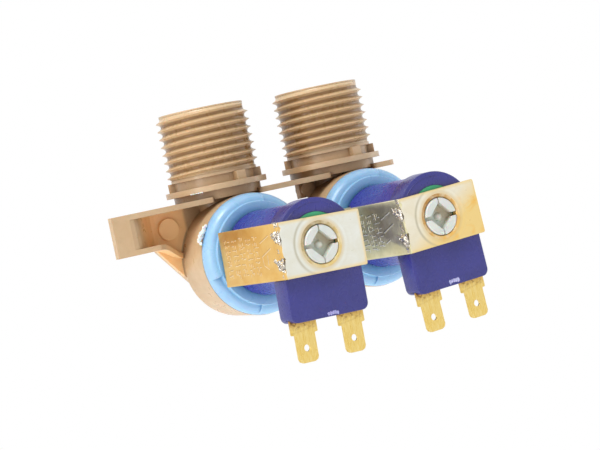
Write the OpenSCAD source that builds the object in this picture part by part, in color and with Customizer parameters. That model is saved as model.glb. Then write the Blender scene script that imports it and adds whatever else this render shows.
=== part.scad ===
// Twin solenoid inlet valve of a washing machine.
// One moulded body carries two threaded hose inlets and a mounting plate.
// Two solenoid valves stand side by side on its front, one for each inlet.
// The origin is the middle of the mounting plate's top face. +Z points up the
// inlets, +X runs from the first inlet to the second, and the coils face -Y.

/* [Inlets] */
// Distance between the two inlet axes
inlet_pitch = 40.2; // [39:0.1:46]
// Height of the plain lead-in ring at the inlet's rim
lead_h = 0.45; // [0.3:0.05:3]
// Radius of the lead-in ring
lead_r = 12.5; // [11.5:0.05:13]
// Length of the threaded band
thread_len = 18.7; // [14:0.1:22]
// Root radius of the threaded band
thread_root_r = 12.4; // [11.5:0.05:12.45]
// Height of the thread's ridges
thread_depth = 1.25; // [0.8:0.05:1.6]
// Pitch of the thread
thread_pitch = 2.35; // [1.8:0.05:3]
// Height of the smooth band below the thread
runout_h = 0.9; // [0.6:0.1:3]
// Radius of the smooth band below the thread
runout_r = 12.7; // [12.5:0.1:13.5]
// Height of the lugs between the thread and the flange
lug_h = 2.5; // [2:0.1:5]
// Width of each lug
lug_w = 3.2; // [2:0.1:4.5]
// Radius that the lugs reach
lug_r = 13.85; // [12.8:0.05:14.5]
// Radius of the recessed wall between the lugs
lug_core_r = 11.9; // [11:0.1:12.2]
// Angle of the first pair of lugs
lug_first = -30; // [-60:1:30]
// Angle between the first and the second pair of lugs
lug_step = 127; // [40:1:140]
// Radius of the flange that the panel lies under
flange_r = 15; // [14.5:0.1:18]
// Thickness of the flange
flange_t = 1.65; // [1.2:0.05:3]
// Width of the slot for the sheet-metal panel
panel_gap = 1.8; // [1:0.05:3]
// Radius of the neck in the panel slot
neck_r = 12.9; // [12.5:0.1:13.8]

/* [Inlet bore] */
// Radius of the bore at the rim
bore_r = 9.6; // [8.5:0.1:10]
// Height of the strainer's ledge above the plate
screen_ledge = 6; // [5:0.5:14]
// Radius of the seat for the flow washer
washer_seat_r = 8.2; // [7.5:0.1:8.4]
// Depth of the flow washer's seat below the strainer's ledge
washer_seat_d = 3.1; // [2:0.1:4]
// Radius of the well below the flow washer
well_r = 6.4; // [5:0.1:7]
// Depth of the well's floor below the plate's top
well_drop = 2.5; // [2:0.1:3]
// Radius of the waterway below the well
down_r = 3.9; // [3:0.1:4]
// Depth of the waterway's floor below the plate's top
down_drop = 10.8; // [10:0.1:11.2]
// Radius of the port from the waterway to the diaphragm chamber
port_r = 2.6; // [2:0.1:2.8]
// Wall of the inlet below the plate
inlet_wall = 2.6; // [2:0.1:4]

/* [Mounting plate] */
// Thickness of the mounting plate
plate_t = 1.6; // [1.2:0.1:3]
// Reach of the plate beyond the first inlet axis
plate_left = 41; // [36:0.5:50]
// Reach of the plate beyond the second inlet axis
plate_right = 16.2; // [15.6:0.1:30]
// Reach of the plate ahead of the inlet axes
plate_front = 12; // [10:0.5:13]
// Reach of the plate behind the inlet axes
plate_back = 12; // [10:0.5:16]
// Slant of the plate's end behind the ear
plate_slant = 16; // [0:0.5:22]
// Corner radius of the plate's free end
plate_corner = 3.5; // [1:0.5:8]
// Half width of the relief in front of each neck
relief_half = 7.6; // [6:0.1:9]
// Depth of the relief in front of each neck
relief_depth = 3; // [1.5:0.1:4]
// Rounding of the corners where the relief starts
relief_round = 1; // [0.4:0.1:1.4]

/* [Screw ear] */
// Height of the ear below the plate's top face
ear_drop = 11.7; // [9:0.1:14]
// Width of the ear's front wall
ear_flat = 5.4; // [4:0.1:10]
// Width of the sweep from the front wall back to the web
ear_sweep = 12; // [8:0.1:13]
// Distance of the web ahead of the inlet axes
web_front = 2.8; // [2:0.1:5]
// Thickness of the web, measured front to back
web_t = 2.2; // [1.5:0.1:3]
// Thickness of the ear's bottom rib
rib_t = 1.5; // [1:0.1:2.5]
// Fall of the bottom rib where it meets the chamber
rib_fall = 4; // [2:0.1:6]
// Reach of the gusset beyond the first inlet axis
gusset_reach = 24.4; // [22:0.1:30]
// Depth of the gusset's foot below the plate's top face
gusset_drop = 23.5; // [18:0.5:26]

/* [Screw bosses] */
// Radius of the boss in the ear
boss_r = 3.2; // [2.8:0.1:3.8]
// Distance of the ear's boss from the first inlet axis
boss_x = 19.9; // [19:0.1:26]
// Depth of the ear's boss below the plate's top face
boss_drop = 6.6; // [6:0.1:7.5]
// Radius of the pad beside the second chamber
small_boss_r = 2.3; // [2:0.1:2.6]
// Distance of the small pad from the second inlet axis
small_boss_x = 11.8; // [11:0.1:13]
// Depth of the small pad below the plate's top face
small_boss_drop = 3.5; // [3.2:0.1:4.2]
// Height by which a boss or pad stands proud of its web
boss_proud = 1; // [0.3:0.1:2]
// Distance of the ear boss's open end behind the inlet axes
boss_back = 8; // [5:0.5:11]
// Radius of the pilot hole for a screw
pilot_r = 1.3; // [1:0.05:1.5]
// Depth of the pilot hole
pilot_depth = 9; // [6:0.5:9.5]
// Reach of the small pad's web beyond the second inlet axis
small_web_reach = 14.3; // [14:0.1:17]
// Depth of the small pad's web below the plate's top face
small_web_drop = 5.9; // [5:0.1:8]

/* [Chambers] */
// Depth of the coil axis below the plate's top face
coil_drop = 18.55; // [18.2:0.05:24]
// Outer radius of a chamber at its rim
rim_r = 17.7; // [17:0.1:19]
// Outer radius of a chamber at its back
back_r = 17.25; // [16.5:0.05:18.5]
// Distance of the rim ahead of the inlet axes
rim_front = 15.6; // [15:0.1:20]
// Distance of the chamber's back ahead of the inlet axes
chamber_back = 1.5; // [0.5:0.1:2.5]
// Rounding of the chamber's back edge
chamber_round = 1.5; // [0.5:0.1:3]
// Thickness of the chamber's back wall
back_wall = 3; // [2:0.1:4]
// Radius of the pool around the valve seat
pool_r = 13; // [12:0.1:13.4]
// Radius of the recess that takes the diaphragm's bead
bead_recess_r = 14.8; // [14.2:0.1:15.2]
// Depth of that recess below the rim
bead_recess_d = 2.7; // [2.2:0.1:3.5]
// Outer radius of the valve seat's tube
seat_r = 6.3; // [5.8:0.1:6.8]
// Radius of the hole through the valve seat
seat_bore_r = 4.5; // [4:0.1:4.8]
// Distance of the valve seat's lip ahead of the inlet axes
seat_front = 11; // [9:0.1:11.5]

/* [Outlet] */
// Outer radius of the manifold that joins the two chambers
manifold_r = 7.4; // [6.5:0.1:7.6]
// Radius of the manifold's waterway
manifold_bore_r = 5.2; // [4:0.1:5.4]
// Distance of the manifold's axis behind the inlet axes
manifold_back = 4; // [3:0.1:6]
// Radius of the hose barb's plain land
barb_land_r = 6.6; // [6.2:0.1:7.2]
// Radius of the hose barb's ridges
barb_ridge_r = 7.5; // [7.2:0.1:8.5]
// Length of the hose barb beyond the manifold's axis
barb_len = 30; // [26:0.5:44]
// Length of each barb ridge
barb_ridge_len = 4; // [3:0.1:5]
// Number of barb ridges
barb_ridges = 2; // [1:1:3]

/* [Retaining rings] */
// Outer radius of a retaining ring
ring_r = 17.6; // [17:0.1:19]
// Radius of the ring's raised collar
collar_r = 15; // [14.6:0.1:15.6]
// Radial width of the collar
collar_w = 3.4; // [1.5:0.1:3.8]
// Height of the ring's outer edge above the chamber's rim
ring_edge = 0.6; // [0.2:0.1:1.5]
// Height of the ring's collar above the chamber's rim
ring_h = 4.4; // [4:0.1:6]
// Thickness of the ring's front wall
ring_wall = 2.4; // [1.5:0.1:2.6]
// Angle that each raised ramp on the ring spans
ramp_span = 128; // [60:1:150]
// Height of the ramps
ramp_h = 0.35; // [0.2:0.05:0.6]
// Angle at which the first ramp starts
ramp_start = 84; // [0:1:180]

/* [Guide tubes] */
// Thickness of the flange's edge
tube_flange_t = 2.4; // [1.5:0.1:2.8]
// Radial gap between the dome and the ring's opening
dome_gap = 0.3; // [0.1:0.1:1]
// Height of the dome above the flange
dome_h = 1.1; // [0.6:0.1:2]
// Outer radius of the guide tube
tube_r = 5.3; // [5:0.05:5.4]
// Bore radius of the guide tube
tube_bore_r = 4.2; // [3.9:0.05:4.4]
// Radius of the pilot chamber in the flange
pilot_chamber_r = 10.5; // [9:0.1:11]
// Height of the pilot chamber
pilot_chamber_h = 2.3; // [1.8:0.1:2.5]
// Height by which the tube's end stands proud of the yoke
tube_proud = 0.3; // [0.1:0.05:1]
// Half diagonal of the square socket in the tube's end
socket_half = 4.1; // [2.5:0.1:4.4]
// Depth of the socket in the tube's end
socket_depth = 2.2; // [1.5:0.1:3]
// Thickness of the wall between socket and bore
tube_end_wall = 1.8; // [1:0.1:3]
// Width of the side slots in the tube's end
slot_w = 1.1; // [0.6:0.1:1.6]
// Width of the upper and lower slots
fine_slot_w = 0.45; // [0.3:0.05:1]

/* [Diaphragms] */
// Thickness of the diaphragm's pad over the seat
pad_t = 2.6; // [2:0.1:3.2]
// Radius of the pad
pad_r = 7.6; // [7:0.1:8.5]
// Thickness of the diaphragm's web
skin_t = 0.8; // [0.6:0.05:1.2]
// Radial width of the bead
bead_w = 1.4; // [1:0.1:1.6]
// Radius of the insert's disc
insert_r = 6; // [5:0.1:7]
// Thickness of the insert's disc
insert_t = 1.5; // [1:0.1:2]
// Radius of the insert's stem
stem_r = 1.5; // [1.2:0.1:2]
// Radius of the pilot hole
pilot_hole_r = 0.6; // [0.4:0.05:0.8]
// Length of the guide fins below the pad
fin_len = 3.2; // [2:0.1:5]
// Thickness of the guide fins
fin_t = 0.9; // [0.6:0.1:1.4]

/* [Plungers] */
// Radius of the plunger
plunger_r = 3.95; // [3.6:0.05:4]
// Travel of the plunger
plunger_lift = 2.4; // [1.5:0.1:3]
// Radius of the rubber tip
tip_r = 2; // [1.5:0.1:2.4]
// Length of the rubber tip outside the plunger
tip_out = 1.2; // [0.8:0.1:1.6]
// Depth of the tip's pocket
tip_in = 1.8; // [1:0.1:2.5]
// Radius of the spring's pocket
spring_pocket_r = 3; // [2.8:0.1:3.2]
// Depth of the spring's pocket
spring_pocket_d = 8; // [5:0.5:10]
// Wire radius of the spring
wire_r = 0.3; // [0.2:0.05:0.35]
// Mean radius of the spring
spring_r = 2.4; // [2:0.1:2.5]
// Number of turns of the spring
spring_turns = 7; // [5:1:10]

/* [Coils] */
// Wall of the coil case around the bobbin's flanges
case_wall = 1.3; // [0.8:0.1:2]
// Height by which the case's thick front part stands proud
slab_step = 0.75; // [0.3:0.05:1.5]
// Depth of the case's thick front part
slab_depth = 6.5; // [5:0.1:9]
// Half width of the block that carries the terminals
slab_half = 12.3; // [11.8:0.1:12.6]
// Depth of the terminal block below the coil axis
slab_drop = 19.9; // [18:0.1:24]
// Rounding of the terminal block's lower corners
slab_round = 2; // [1:0.1:4]
// Height of the bobbin's front flange above the boss that shows in the case
boss_step = 1.8; // [1:0.1:2.4]
// Distance of that boss's flat below the coil axis
boss_flat = 7; // [6.5:0.1:7.4]
// Radius of the bobbin's flanges
bobbin_flange_r = 10.8; // [10:0.1:11]
// Thickness of the bobbin's flanges
bobbin_flange_t = 1.3; // [1:0.1:2]
// Wall of the bobbin's tube around the flux sleeve
bobbin_wall = 0.8; // [0.6:0.1:1]
// Height of the bobbin's flanges above the winding
winding_inset = 0.4; // [0.2:0.1:1.5]
// Turn of the first coil about its axis, in degrees
turn_a = -1.9; // [-6:0.1:6]
// Turn of the second coil about its axis, in degrees
turn_b = 2.7; // [-6:0.1:6]

/* [Yokes] */
// Thickness of the yoke's steel
steel_t = 1.5; // [1.2:0.1:2]
// Height of the yoke
yoke_h = 15.6; // [14:0.1:18]
// Reach of the yoke's side plate beyond the case's round part
yoke_gap = 0.45; // [0.3:0.05:1.2]
// Reach of the yoke's open side beyond the case's round part
yoke_over = 1.35; // [0.8:0.05:2.5]
// Depth of the yoke, front to back
yoke_depth = 32.2; // [30:0.1:38]
// Extra width of the side plate's rear end
yoke_splay = 1.9; // [1:0.1:2.4]
// Outer radius of the yoke's bend
bend_r = 2; // [1.6:0.1:3]
// Radius of the hole in the front plate
front_hole_r = 5.55; // [5.5:0.05:6]
// Radius of the coined ring around that hole
coin_r = 8.5; // [7.5:0.1:9]
// Depth of the coined ring
coin_d = 0.15; // [0.05:0.05:0.3]
// Inner edge of the staked tongues, from the yoke's middle
tongue_in = 2; // [1.5:0.1:3]
// Outer edge of the staked tongues, from the yoke's middle
tongue_out = 5; // [4:0.1:6]
// Wall of the flux sleeve
sleeve_t = 0.85; // [0.6:0.05:1]
// Length of the flux sleeve
sleeve_len = 11; // [8:0.5:16]

/* [Terminals] */
// Width of a terminal blade
blade_w = 6.35; // [4.8:0.05:6.35]
// Thickness of a terminal blade
blade_t = 0.8; // [0.5:0.05:1]
// Length of a blade below its shoulders
blade_len = 7.9; // [6:0.1:9]
// Width across the shoulders
shoulder_w = 8.4; // [7.4:0.1:9]
// Height of the shoulders below the case
shoulder_h = 3.3; // [1:0.1:5]
// Length of the terminal inside the case
root_len = 6; // [3:0.1:6.4]
// Half distance between the two terminals
blade_half_pitch = 7.67; // [7:0.05:7.9]
// Radius of the hole in a blade
blade_hole_r = 0.9; // [0.6:0.05:1.2]
// Distance of the blade's hole below the shoulders
blade_hole_drop = 3.9; // [3:0.1:5]
// Chamfer of the blade's tip
blade_chamfer = 1.2; // [0.5:0.1:1.5]
// Distance of the terminals behind the yoke's front face
blade_back = 4.6; // [3.4:0.1:6]

/* [Strainers and washers] */
// Radial clearance of the strainer and the flow washer in the bore
bore_clear = 0.1; // [0.05:0.05:0.3]
// Radial width of the strainer's rim
screen_rim_w = 1.5; // [1:0.1:2]
// Thickness of the strainer's rim
screen_rim_t = 1.6; // [1:0.1:3]
// Height of the strainer
screen_h = 10.5; // [8:0.5:12]
// Radius of the strainer's closed top
screen_top_r = 4.6; // [3:0.1:6]
// Number of ribs on the strainer
screen_ribs = 16; // [8:1:24]
// Number of hoops on the strainer
screen_hoops = 5; // [3:1:8]
// Thickness of the strainer's ribs and hoops
screen_rib_t = 0.6; // [0.4:0.05:1]
// Thickness of the flow washer
washer_t = 2.9; // [1.8:0.1:3]
// Radius of the flow washer's hole
washer_hole_r = 2.4; // [1.5:0.1:3.5]

/* [Hidden] */

// The two valves stand on either side of the origin
a_side = -1;
b_side = 1;
inlet_x = inlet_pitch / 2;

// Overlap that joins solids of one piece, and clears the faces of cuts
bite = 0.1;
// Clearance between flat faces that are pressed together
fit_clear = 0.05;
// Clearance between round pieces that slip over each other
slip_clear = 0.1;
$fn = 60;

// Heights along an inlet, from the plate's top face
flange_z = panel_gap;
lug_z = flange_z + flange_t;
runout_z = lug_z + lug_h;
thread_z = runout_z + runout_h;
lead_z = thread_z + thread_len;
inlet_h = lead_z + lead_h;
washer_ledge = screen_ledge - washer_seat_d;
// The tubes that leave the manifold are a little slimmer than it
stub_r = manifold_r - 0.5;
barb_bore_r = manifold_bore_r - 0.3;
// The port lies between the waterway's floor and the pool's wall
port_z = -coil_drop + (seat_r + pool_r) / 2;

// The guide tube's flange lies in the bead's recess, and its dome in the ring
ring_open_r = collar_r - collar_w;
dome_r = ring_open_r - dome_gap;
tube_flange_r = bead_recess_r - 2 * slip_clear;

// Radii of the coil, from the bobbin's flange outwards, and the yoke around it
pocket_r = bobbin_flange_r + slip_clear;
winding_r = bobbin_flange_r - winding_inset;
boss_show_r = bobbin_flange_r - boss_step;
case_r = pocket_r + case_wall;
slab_r = case_r + slab_step;
yoke_left = case_r + yoke_gap;
yoke_right = case_r + yoke_over;

// Distances ahead of the inlet axes, along a valve's axis
pool_back = chamber_back + back_wall;
bead_floor = rim_front - bead_recess_d;
flange_back = rim_front - 0.6;
flange_front = flange_back + tube_flange_t;
dome_front = flange_front + dome_h;
pilot_roof = flange_back + pilot_chamber_h;
ring_front = rim_front + ring_h;
pad_back = seat_front + fit_clear;
pad_front = pad_back + pad_t;
insert_front = pad_front + fit_clear + insert_t;
tip_back = insert_front + fit_clear;
plunger_back = tip_back + tip_out;
yoke_back = ring_front + 0.3;
yoke_front = yoke_back + yoke_depth;
plate_rear = yoke_front - steel_t;
case_back = yoke_back + steel_t;
tube_end = yoke_front + tube_proud;
socket_floor = tube_end - socket_depth;
bore_end = socket_floor - tube_end_wall;
plunger_front = bore_end - plunger_lift - fit_clear;
slab_back = plate_rear - slab_depth;
sleeve_bore_r = tube_r + slip_clear;
sleeve_r = sleeve_bore_r + sleeve_t;
bobbin_bore_r = sleeve_r + slip_clear;
bobbin_r = bobbin_bore_r + bobbin_wall;
flange2_back = plate_rear - boss_depth() - bobbin_flange_t;
blade_mid = yoke_front - blade_back;

// Height of the bobbin's front boss behind the yoke plate
function boss_depth() = 2.7;

TAN = [0.78, 0.64, 0.46];
BLUE = [0.56, 0.76, 0.90];
PURPLE = [0.30, 0.27, 0.60];
GREEN = [0.22, 0.65, 0.44];
GOLD = [0.88, 0.76, 0.46];
WHITE = [0.86, 0.88, 0.85];
STEEL = [0.70, 0.71, 0.72];
COPPER = [0.74, 0.42, 0.22];
BLACK = [0.12, 0.12, 0.12];

// Points on an arc from angle a0 to angle a1
function arc(cx, cy, r, a0, a1, n = 8) =
    [for (i = [0:n]) let (a = a0 + (a1 - a0) * i / n) [cx + r * cos(a), cy + r * sin(a)]];

// A smooth step from 0 to 1
function ease(t) = (1 - cos(180 * t)) / 2;

// A valve's own frame: x along the inlets, y up, z forward along the coil
module at_valve(side) {
    translate([side * inlet_x, 0, -coil_drop]) rotate([90, 0, 0]) children();
}

// The same frame, turned with the coil
module at_coil(side) {
    at_valve(side) rotate([0, 0, side == a_side ? turn_a : turn_b]) children();
}

module at_inlet(side) {
    translate([side * inlet_x, 0, 0]) children();
}

// A ring or disc between two distances along the z axis
module disc(r, z0, z1) {
    translate([0, 0, z0]) cylinder(r = r, h = z1 - z0);
}

// A plate of height h, drawn as its plan in x and z of a valve's frame
module in_plan(h) {
    rotate([90, 0, 0]) linear_extrude(h, center = true) children();
}

// Valve body

module inlet_outside() {
    disc(well_r + inlet_wall, -down_drop - inlet_wall, -plate_t / 2);
    disc(neck_r, -plate_t / 2, flange_z + bite);
    disc(flange_r, flange_z, lug_z);
    disc(lug_core_r, lug_z - bite, runout_z + bite);
    disc(runout_r, runout_z, thread_z);
    thread_ridges();
    disc(lead_r, lead_z, inlet_h);
    inlet_lugs();
}

// The thread, simplified to closed rings at its pitch
module thread_ridges() {
    count = round(thread_len / thread_pitch);
    step = thread_len / count;
    crest_r = thread_root_r + thread_depth;
    rotate_extrude() {
        polygon(concat(
            [[0, thread_z - bite], [thread_root_r, thread_z - bite]],
            [for (i = [0:count - 1], p = [[0, 0.06], [1, 0.42], [1, 0.58], [0, 0.94]])
                [p[0] > 0 ? crest_r : thread_root_r, thread_z + (i + p[1]) * step]],
            [[thread_root_r, lead_z + bite], [0, lead_z + bite]]));
    }
}

// Upright lugs that stiffen the flange below the thread
module inlet_lugs() {
    intersection() {
        disc(lug_r, lug_z - bite, runout_z + bite);
        for (a = [lug_first, lug_first + lug_step]) {
            rotate([0, 0, a]) {
                translate([-flange_r, -lug_w / 2, lug_z - bite]) {
                    cube([2 * flange_r, lug_w, lug_h + 2 * bite]);
                }
            }
        }
    }
}

module inlet_waterway() {
    disc(bore_r, screen_ledge, inlet_h + bite);
    disc(washer_seat_r, washer_ledge, screen_ledge + bite);
    disc(well_r, -well_drop, washer_ledge + bite);
    disc(down_r, -down_drop, bite - well_drop);
}

// Drafted cup that holds the diaphragm, in a valve's frame
module chamber_outside() {
    rotate_extrude() {
        polygon(concat(
            [[0, chamber_back]],
            arc(back_r - chamber_round, chamber_back + chamber_round, chamber_round, -90, 0, 4),
            [[rim_r, rim_front], [0, rim_front]]));
    }
}

module chamber_inside() {
    rotate_extrude() {
        polygon([[seat_r, pool_back], [pool_r, pool_back], [pool_r, bead_floor],
            [bead_recess_r, bead_floor], [bead_recess_r, rim_front + bite],
            [0, rim_front + bite], [0, seat_front], [seat_r, seat_front]]);
    }
    disc(seat_bore_r, -manifold_back, seat_front + bite);
    translate([0, port_z + coil_drop, 0]) disc(port_r, 0, pool_back + bite);
}

module mounting_plate() {
    x0 = -inlet_x - plate_left;
    x1 = inlet_x + plate_right;
    translate([0, 0, -plate_t]) linear_extrude(plate_t) {
        difference() {
            polygon(concat(
                [[x0 + plate_slant, plate_back], [x0, web_t - plate_front], [x0, -plate_front]],
                arc(x1 - plate_corner, -plate_front + plate_corner, plate_corner, -90, 0),
                arc(x1 - plate_corner, plate_back - plate_corner, plate_corner, 0, 90)));
            for (side = [a_side, b_side]) {
                translate([side * inlet_x, -plate_front]) relief();
            }
        }
    }
}

// Relief in the plate's front edge, between two rounded corners
module relief() {
    corner_x = relief_half + relief_round;
    polygon(concat(
        [[-corner_x, -bite]],
        arc(-corner_x, relief_round, relief_round, -90, 0),
        [[-relief_half, relief_depth], [relief_half, relief_depth]],
        arc(corner_x, relief_round, relief_round, 180, 270),
        [[corner_x, -bite]]));
}

// Channel-shaped ear: a front wall that sweeps back into a recessed web,
// closed below by a rib that falls away to the chamber
module screw_ear() {
    x0 = -inlet_x - plate_left;
    x_sweep = x0 + ear_flat;
    x_web = x_sweep + ear_sweep;
    steps = 8;
    front = concat([[x0, -plate_front]],
        [for (i = [0:steps]) [x_sweep + ear_sweep * i / steps,
            -plate_front + (plate_front - web_front) * ease(i / steps)]],
        [[-inlet_x - well_r - 1, -web_front]]);
    back = [for (i = [len(front) - 1:-1:0]) [front[i][0], front[i][1] + web_t]];
    translate([0, 0, -ear_drop + rib_t / 2]) {
        linear_extrude(ear_drop - rib_t / 2 - plate_t / 2) polygon(concat(front, back));
    }
    intersection() {
        ear_rib_profile(x0, x_web, steps);
        ear_rib_plan(x0, x_sweep, x_web);
    }
    ear_gusset(x_web);
    screw_boss(-inlet_x - boss_x, boss_drop, boss_r, boss_back);
}

module ear_rib_profile(x0, x_web, steps) {
    x1 = -inlet_x - back_r + 1;
    under = concat([[x0, -ear_drop]],
        [for (i = [0:steps]) [x_web - 3 + (x1 - x_web + 3) * i / steps,
            -ear_drop - rib_fall * ease(i / steps)]]);
    over = [for (i = [len(under) - 1:-1:0]) [under[i][0], under[i][1] + rib_t]];
    rotate([90, 0, 0]) linear_extrude(2 * plate_front, center = true) {
        polygon(concat(under, over));
    }
}

module ear_rib_plan(x0, x_sweep, x_web) {
    translate([0, 0, -ear_drop - rib_fall - bite]) linear_extrude(rib_fall + rib_t + 2 * bite) {
        polygon([[x0, -plate_front], [x_web - 4, -plate_front],
            [-inlet_x - back_r, -web_front - boss_proud], [-inlet_x - pool_r, -web_front],
            [-inlet_x - pool_r, web_t - web_front], [x_web, web_t - web_front],
            [x_sweep, web_t - plate_front], [x0, web_t - plate_front]]);
    }
}

module ear_gusset(x_web) {
    x_root = -inlet_x - pool_r;
    translate([0, web_t - web_front, 0]) rotate([90, 0, 0]) linear_extrude(web_t) {
        polygon([[x_web - 1, -ear_drop + rib_t], [-inlet_x - gusset_reach, -ear_drop - 0.6],
            [-inlet_x - back_r + 2, -gusset_drop], [x_root, -gusset_drop], [x_root, -ear_drop + rib_t]]);
    }
}

// Boss whose closed end shows on the front of its web
module screw_boss(x, drop, r, back) {
    front = web_front + boss_proud;
    translate([x, -front, -drop]) rotate([-90, 0, 0]) cylinder(r = r, h = front + back);
}

module pilot_hole(x, drop) {
    translate([x, boss_back - pilot_depth, -drop]) {
        rotate([-90, 0, 0]) cylinder(r = pilot_r, h = pilot_depth + bite);
    }
}

// Small web with a round pad, between the chambers
module small_web() {
    translate([inlet_x - small_web_reach, -web_front, -small_web_drop]) {
        cube([small_web_reach, web_t, small_web_drop - plate_t / 2]);
    }
    screw_boss(inlet_x - small_boss_x, small_boss_drop, small_boss_r, 0);
}

module manifold_outside() {
    length = inlet_pitch + 2 * manifold_r;
    translate([-length / 2, manifold_back, -coil_drop]) {
        rotate([0, 90, 0]) cylinder(r = manifold_r, h = length);
    }
    for (side = [a_side, b_side]) {
        at_valve(side) disc(stub_r, -manifold_back, chamber_back + bite);
    }
    translate([0, manifold_back, -coil_drop]) rotate([-90, 0, 0]) hose_barb();
}

// Plain land, then ridges that ramp up towards the manifold
module hose_barb() {
    ridge_start = barb_len - barb_ridges * barb_ridge_len;
    disc(barb_land_r, 0, ridge_start + bite);
    for (i = [0:barb_ridges - 1]) {
        translate([0, 0, ridge_start + i * barb_ridge_len]) {
            cylinder(r1 = barb_ridge_r, r2 = barb_land_r - 0.4, h = barb_ridge_len);
        }
    }
}

module manifold_waterway() {
    length = inlet_pitch + 2 * manifold_bore_r;
    translate([-length / 2, manifold_back, -coil_drop]) {
        rotate([0, 90, 0]) cylinder(r = manifold_bore_r, h = length);
    }
    translate([0, manifold_back, -coil_drop]) {
        rotate([-90, 0, 0]) disc(barb_bore_r, 0, barb_len + bite);
    }
}

module valve_body() {
    color(TAN) difference() {
        union() {
            mounting_plate();
            screw_ear();
            small_web();
            manifold_outside();
            for (side = [a_side, b_side]) {
                at_inlet(side) inlet_outside();
                at_valve(side) chamber_outside();
            }
        }
        for (side = [a_side, b_side]) {
            at_inlet(side) inlet_waterway();
            at_valve(side) chamber_inside();
        }
        manifold_waterway();
        pilot_hole(-inlet_x - boss_x, boss_drop);
    }
}

// Strainer and flow washer in an inlet

module inlet_screen(side) {
    rim_r = bore_r - bore_clear;
    foot_r = rim_r - screen_rim_w;
    z0 = screen_ledge + fit_clear;
    z1 = z0 + screen_h;
    color(WHITE) at_inlet(side) {
        difference() {
            disc(rim_r, z0, z0 + screen_rim_t);
            disc(foot_r - screen_rib_t, z0 - bite, z0 + screen_rim_t + bite);
        }
        disc(screen_top_r, z1 - screen_rib_t, z1);
        for (i = [1:screen_hoops]) {
            f = i / (screen_hoops + 1);
            screen_hoop(foot_r + (screen_top_r - foot_r) * f, z0 + screen_rim_t + (screen_h - screen_rim_t) * f);
        }
        for (i = [0:screen_ribs - 1]) {
            rotate([0, 0, i * 360 / screen_ribs]) screen_rib(foot_r, z0, z1);
        }
    }
}

module screen_hoop(r, z) {
    rotate_extrude() {
        translate([r - screen_rib_t, z - screen_rib_t / 2]) square(screen_rib_t);
    }
}

module screen_rib(foot_r, z0, z1) {
    rotate([90, 0, 0]) linear_extrude(screen_rib_t, center = true) {
        polygon([[foot_r, z0 + screen_rim_t / 2], [screen_top_r, z1],
            [screen_top_r - screen_rib_t, z1], [foot_r - screen_rib_t, z0 + screen_rim_t / 2]]);
    }
}

module flow_washer(side) {
    r = washer_seat_r - bore_clear;
    z0 = washer_ledge + fit_clear;
    color(BLACK) at_inlet(side) rotate_extrude() {
        polygon([[washer_hole_r, z0], [r, z0], [r, z0 + washer_t],
            [r - 1.2, z0 + washer_t], [washer_hole_r + 0.6, z0 + washer_t - 0.5],
            [washer_hole_r, z0 + washer_t - 0.9]]);
    }
}

// Pieces of one valve, front to back

module retaining_ring(side) {
    edge = rim_front + ring_edge;
    rise = ring_front - 1.1 - edge;
    color(BLUE) at_valve(side) {
        rotate_extrude() {
            polygon(concat(
                [[bead_recess_r, rim_front], [ring_r, rim_front]],
                [for (i = [0:8]) [collar_r + (ring_r - collar_r) * cos(i * 90 / 8),
                    edge + rise * sin(i * 90 / 8)]],
                [[collar_r - 0.1, ring_front - 0.2], [collar_r - 0.3, ring_front],
                    [ring_open_r + 0.3, ring_front], [ring_open_r, ring_front - 0.3],
                    [ring_open_r, ring_front - ring_wall], [bead_recess_r, ring_front - ring_wall]]));
        }
        for (i = [0, 1]) {
            rotate([0, 0, ramp_start + i * 180]) ring_ramp(edge, rise);
        }
    }
}

// Raised ramp on the ring's rounded shoulder, which ends in a step
module ring_ramp(edge, rise) {
    r0 = bead_recess_r + 0.4;
    rotate_extrude(angle = ramp_span) {
        polygon(concat(
            [[r0, rim_front + ring_edge]],
            [[ring_r - 0.3, rim_front + ring_edge]],
            [for (i = [1:8]) [r0 + (ring_r - r0 + ramp_h / 2) * cos(i * 90 / 8),
                edge + (rise + ramp_h) * sin(i * 90 / 8)]]));
    }
}

module guide_tube(side) {
    color(WHITE) at_valve(side) difference() {
        rotate_extrude() {
            polygon([[pilot_chamber_r, flange_back], [tube_flange_r, flange_back],
                [tube_flange_r, flange_front], [dome_r, flange_front], [dome_r - 0.5, dome_front],
                [tube_r, dome_front], [tube_r, tube_end - 0.3], [tube_r - 0.3, tube_end],
                [0, tube_end], [0, bore_end], [tube_bore_r, bore_end], [tube_bore_r, pilot_roof],
                [pilot_chamber_r, pilot_roof]]);
        }
        tube_socket();
    }
}

// Square socket with four slots and a small dome in its floor
module tube_socket() {
    side = socket_half * sqrt(2);
    dome = 1.2;
    difference() {
        translate([0, 0, socket_floor]) {
            rotate([0, 0, 45]) {
                translate([-side / 2, -side / 2, 0]) cube([side, side, socket_depth + bite]);
            }
            translate([-tube_r - bite, -slot_w / 2, 0]) {
                cube([2 * (tube_r + bite), slot_w, socket_depth + bite]);
            }
            translate([-fine_slot_w / 2, -tube_r - bite, 0]) {
                cube([fine_slot_w, 2 * (tube_r + bite), socket_depth + bite]);
            }
        }
        intersection() {
            translate([0, 0, socket_floor]) sphere(r = dome);
            disc(dome + bite, socket_floor, socket_floor + dome + bite);
        }
    }
}

module diaphragm(side) {
    hole_r = stem_r + slip_clear;
    skin_back = bead_floor + fit_clear;
    bead_r = bead_recess_r - slip_clear;
    color(BLACK) at_valve(side) rotate_extrude() {
        polygon([[hole_r, pad_back], [pad_r - 0.5, pad_back], [pad_r, pad_back + 0.5],
            [pad_r, skin_back], [bead_r, skin_back], [bead_r, flange_back - fit_clear],
            [bead_r - bead_w, flange_back - fit_clear], [bead_r - bead_w, skin_back + skin_t],
            [pad_r, skin_back + skin_t], [pad_r - 0.4, pad_front], [hole_r, pad_front]]);
    }
}

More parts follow.
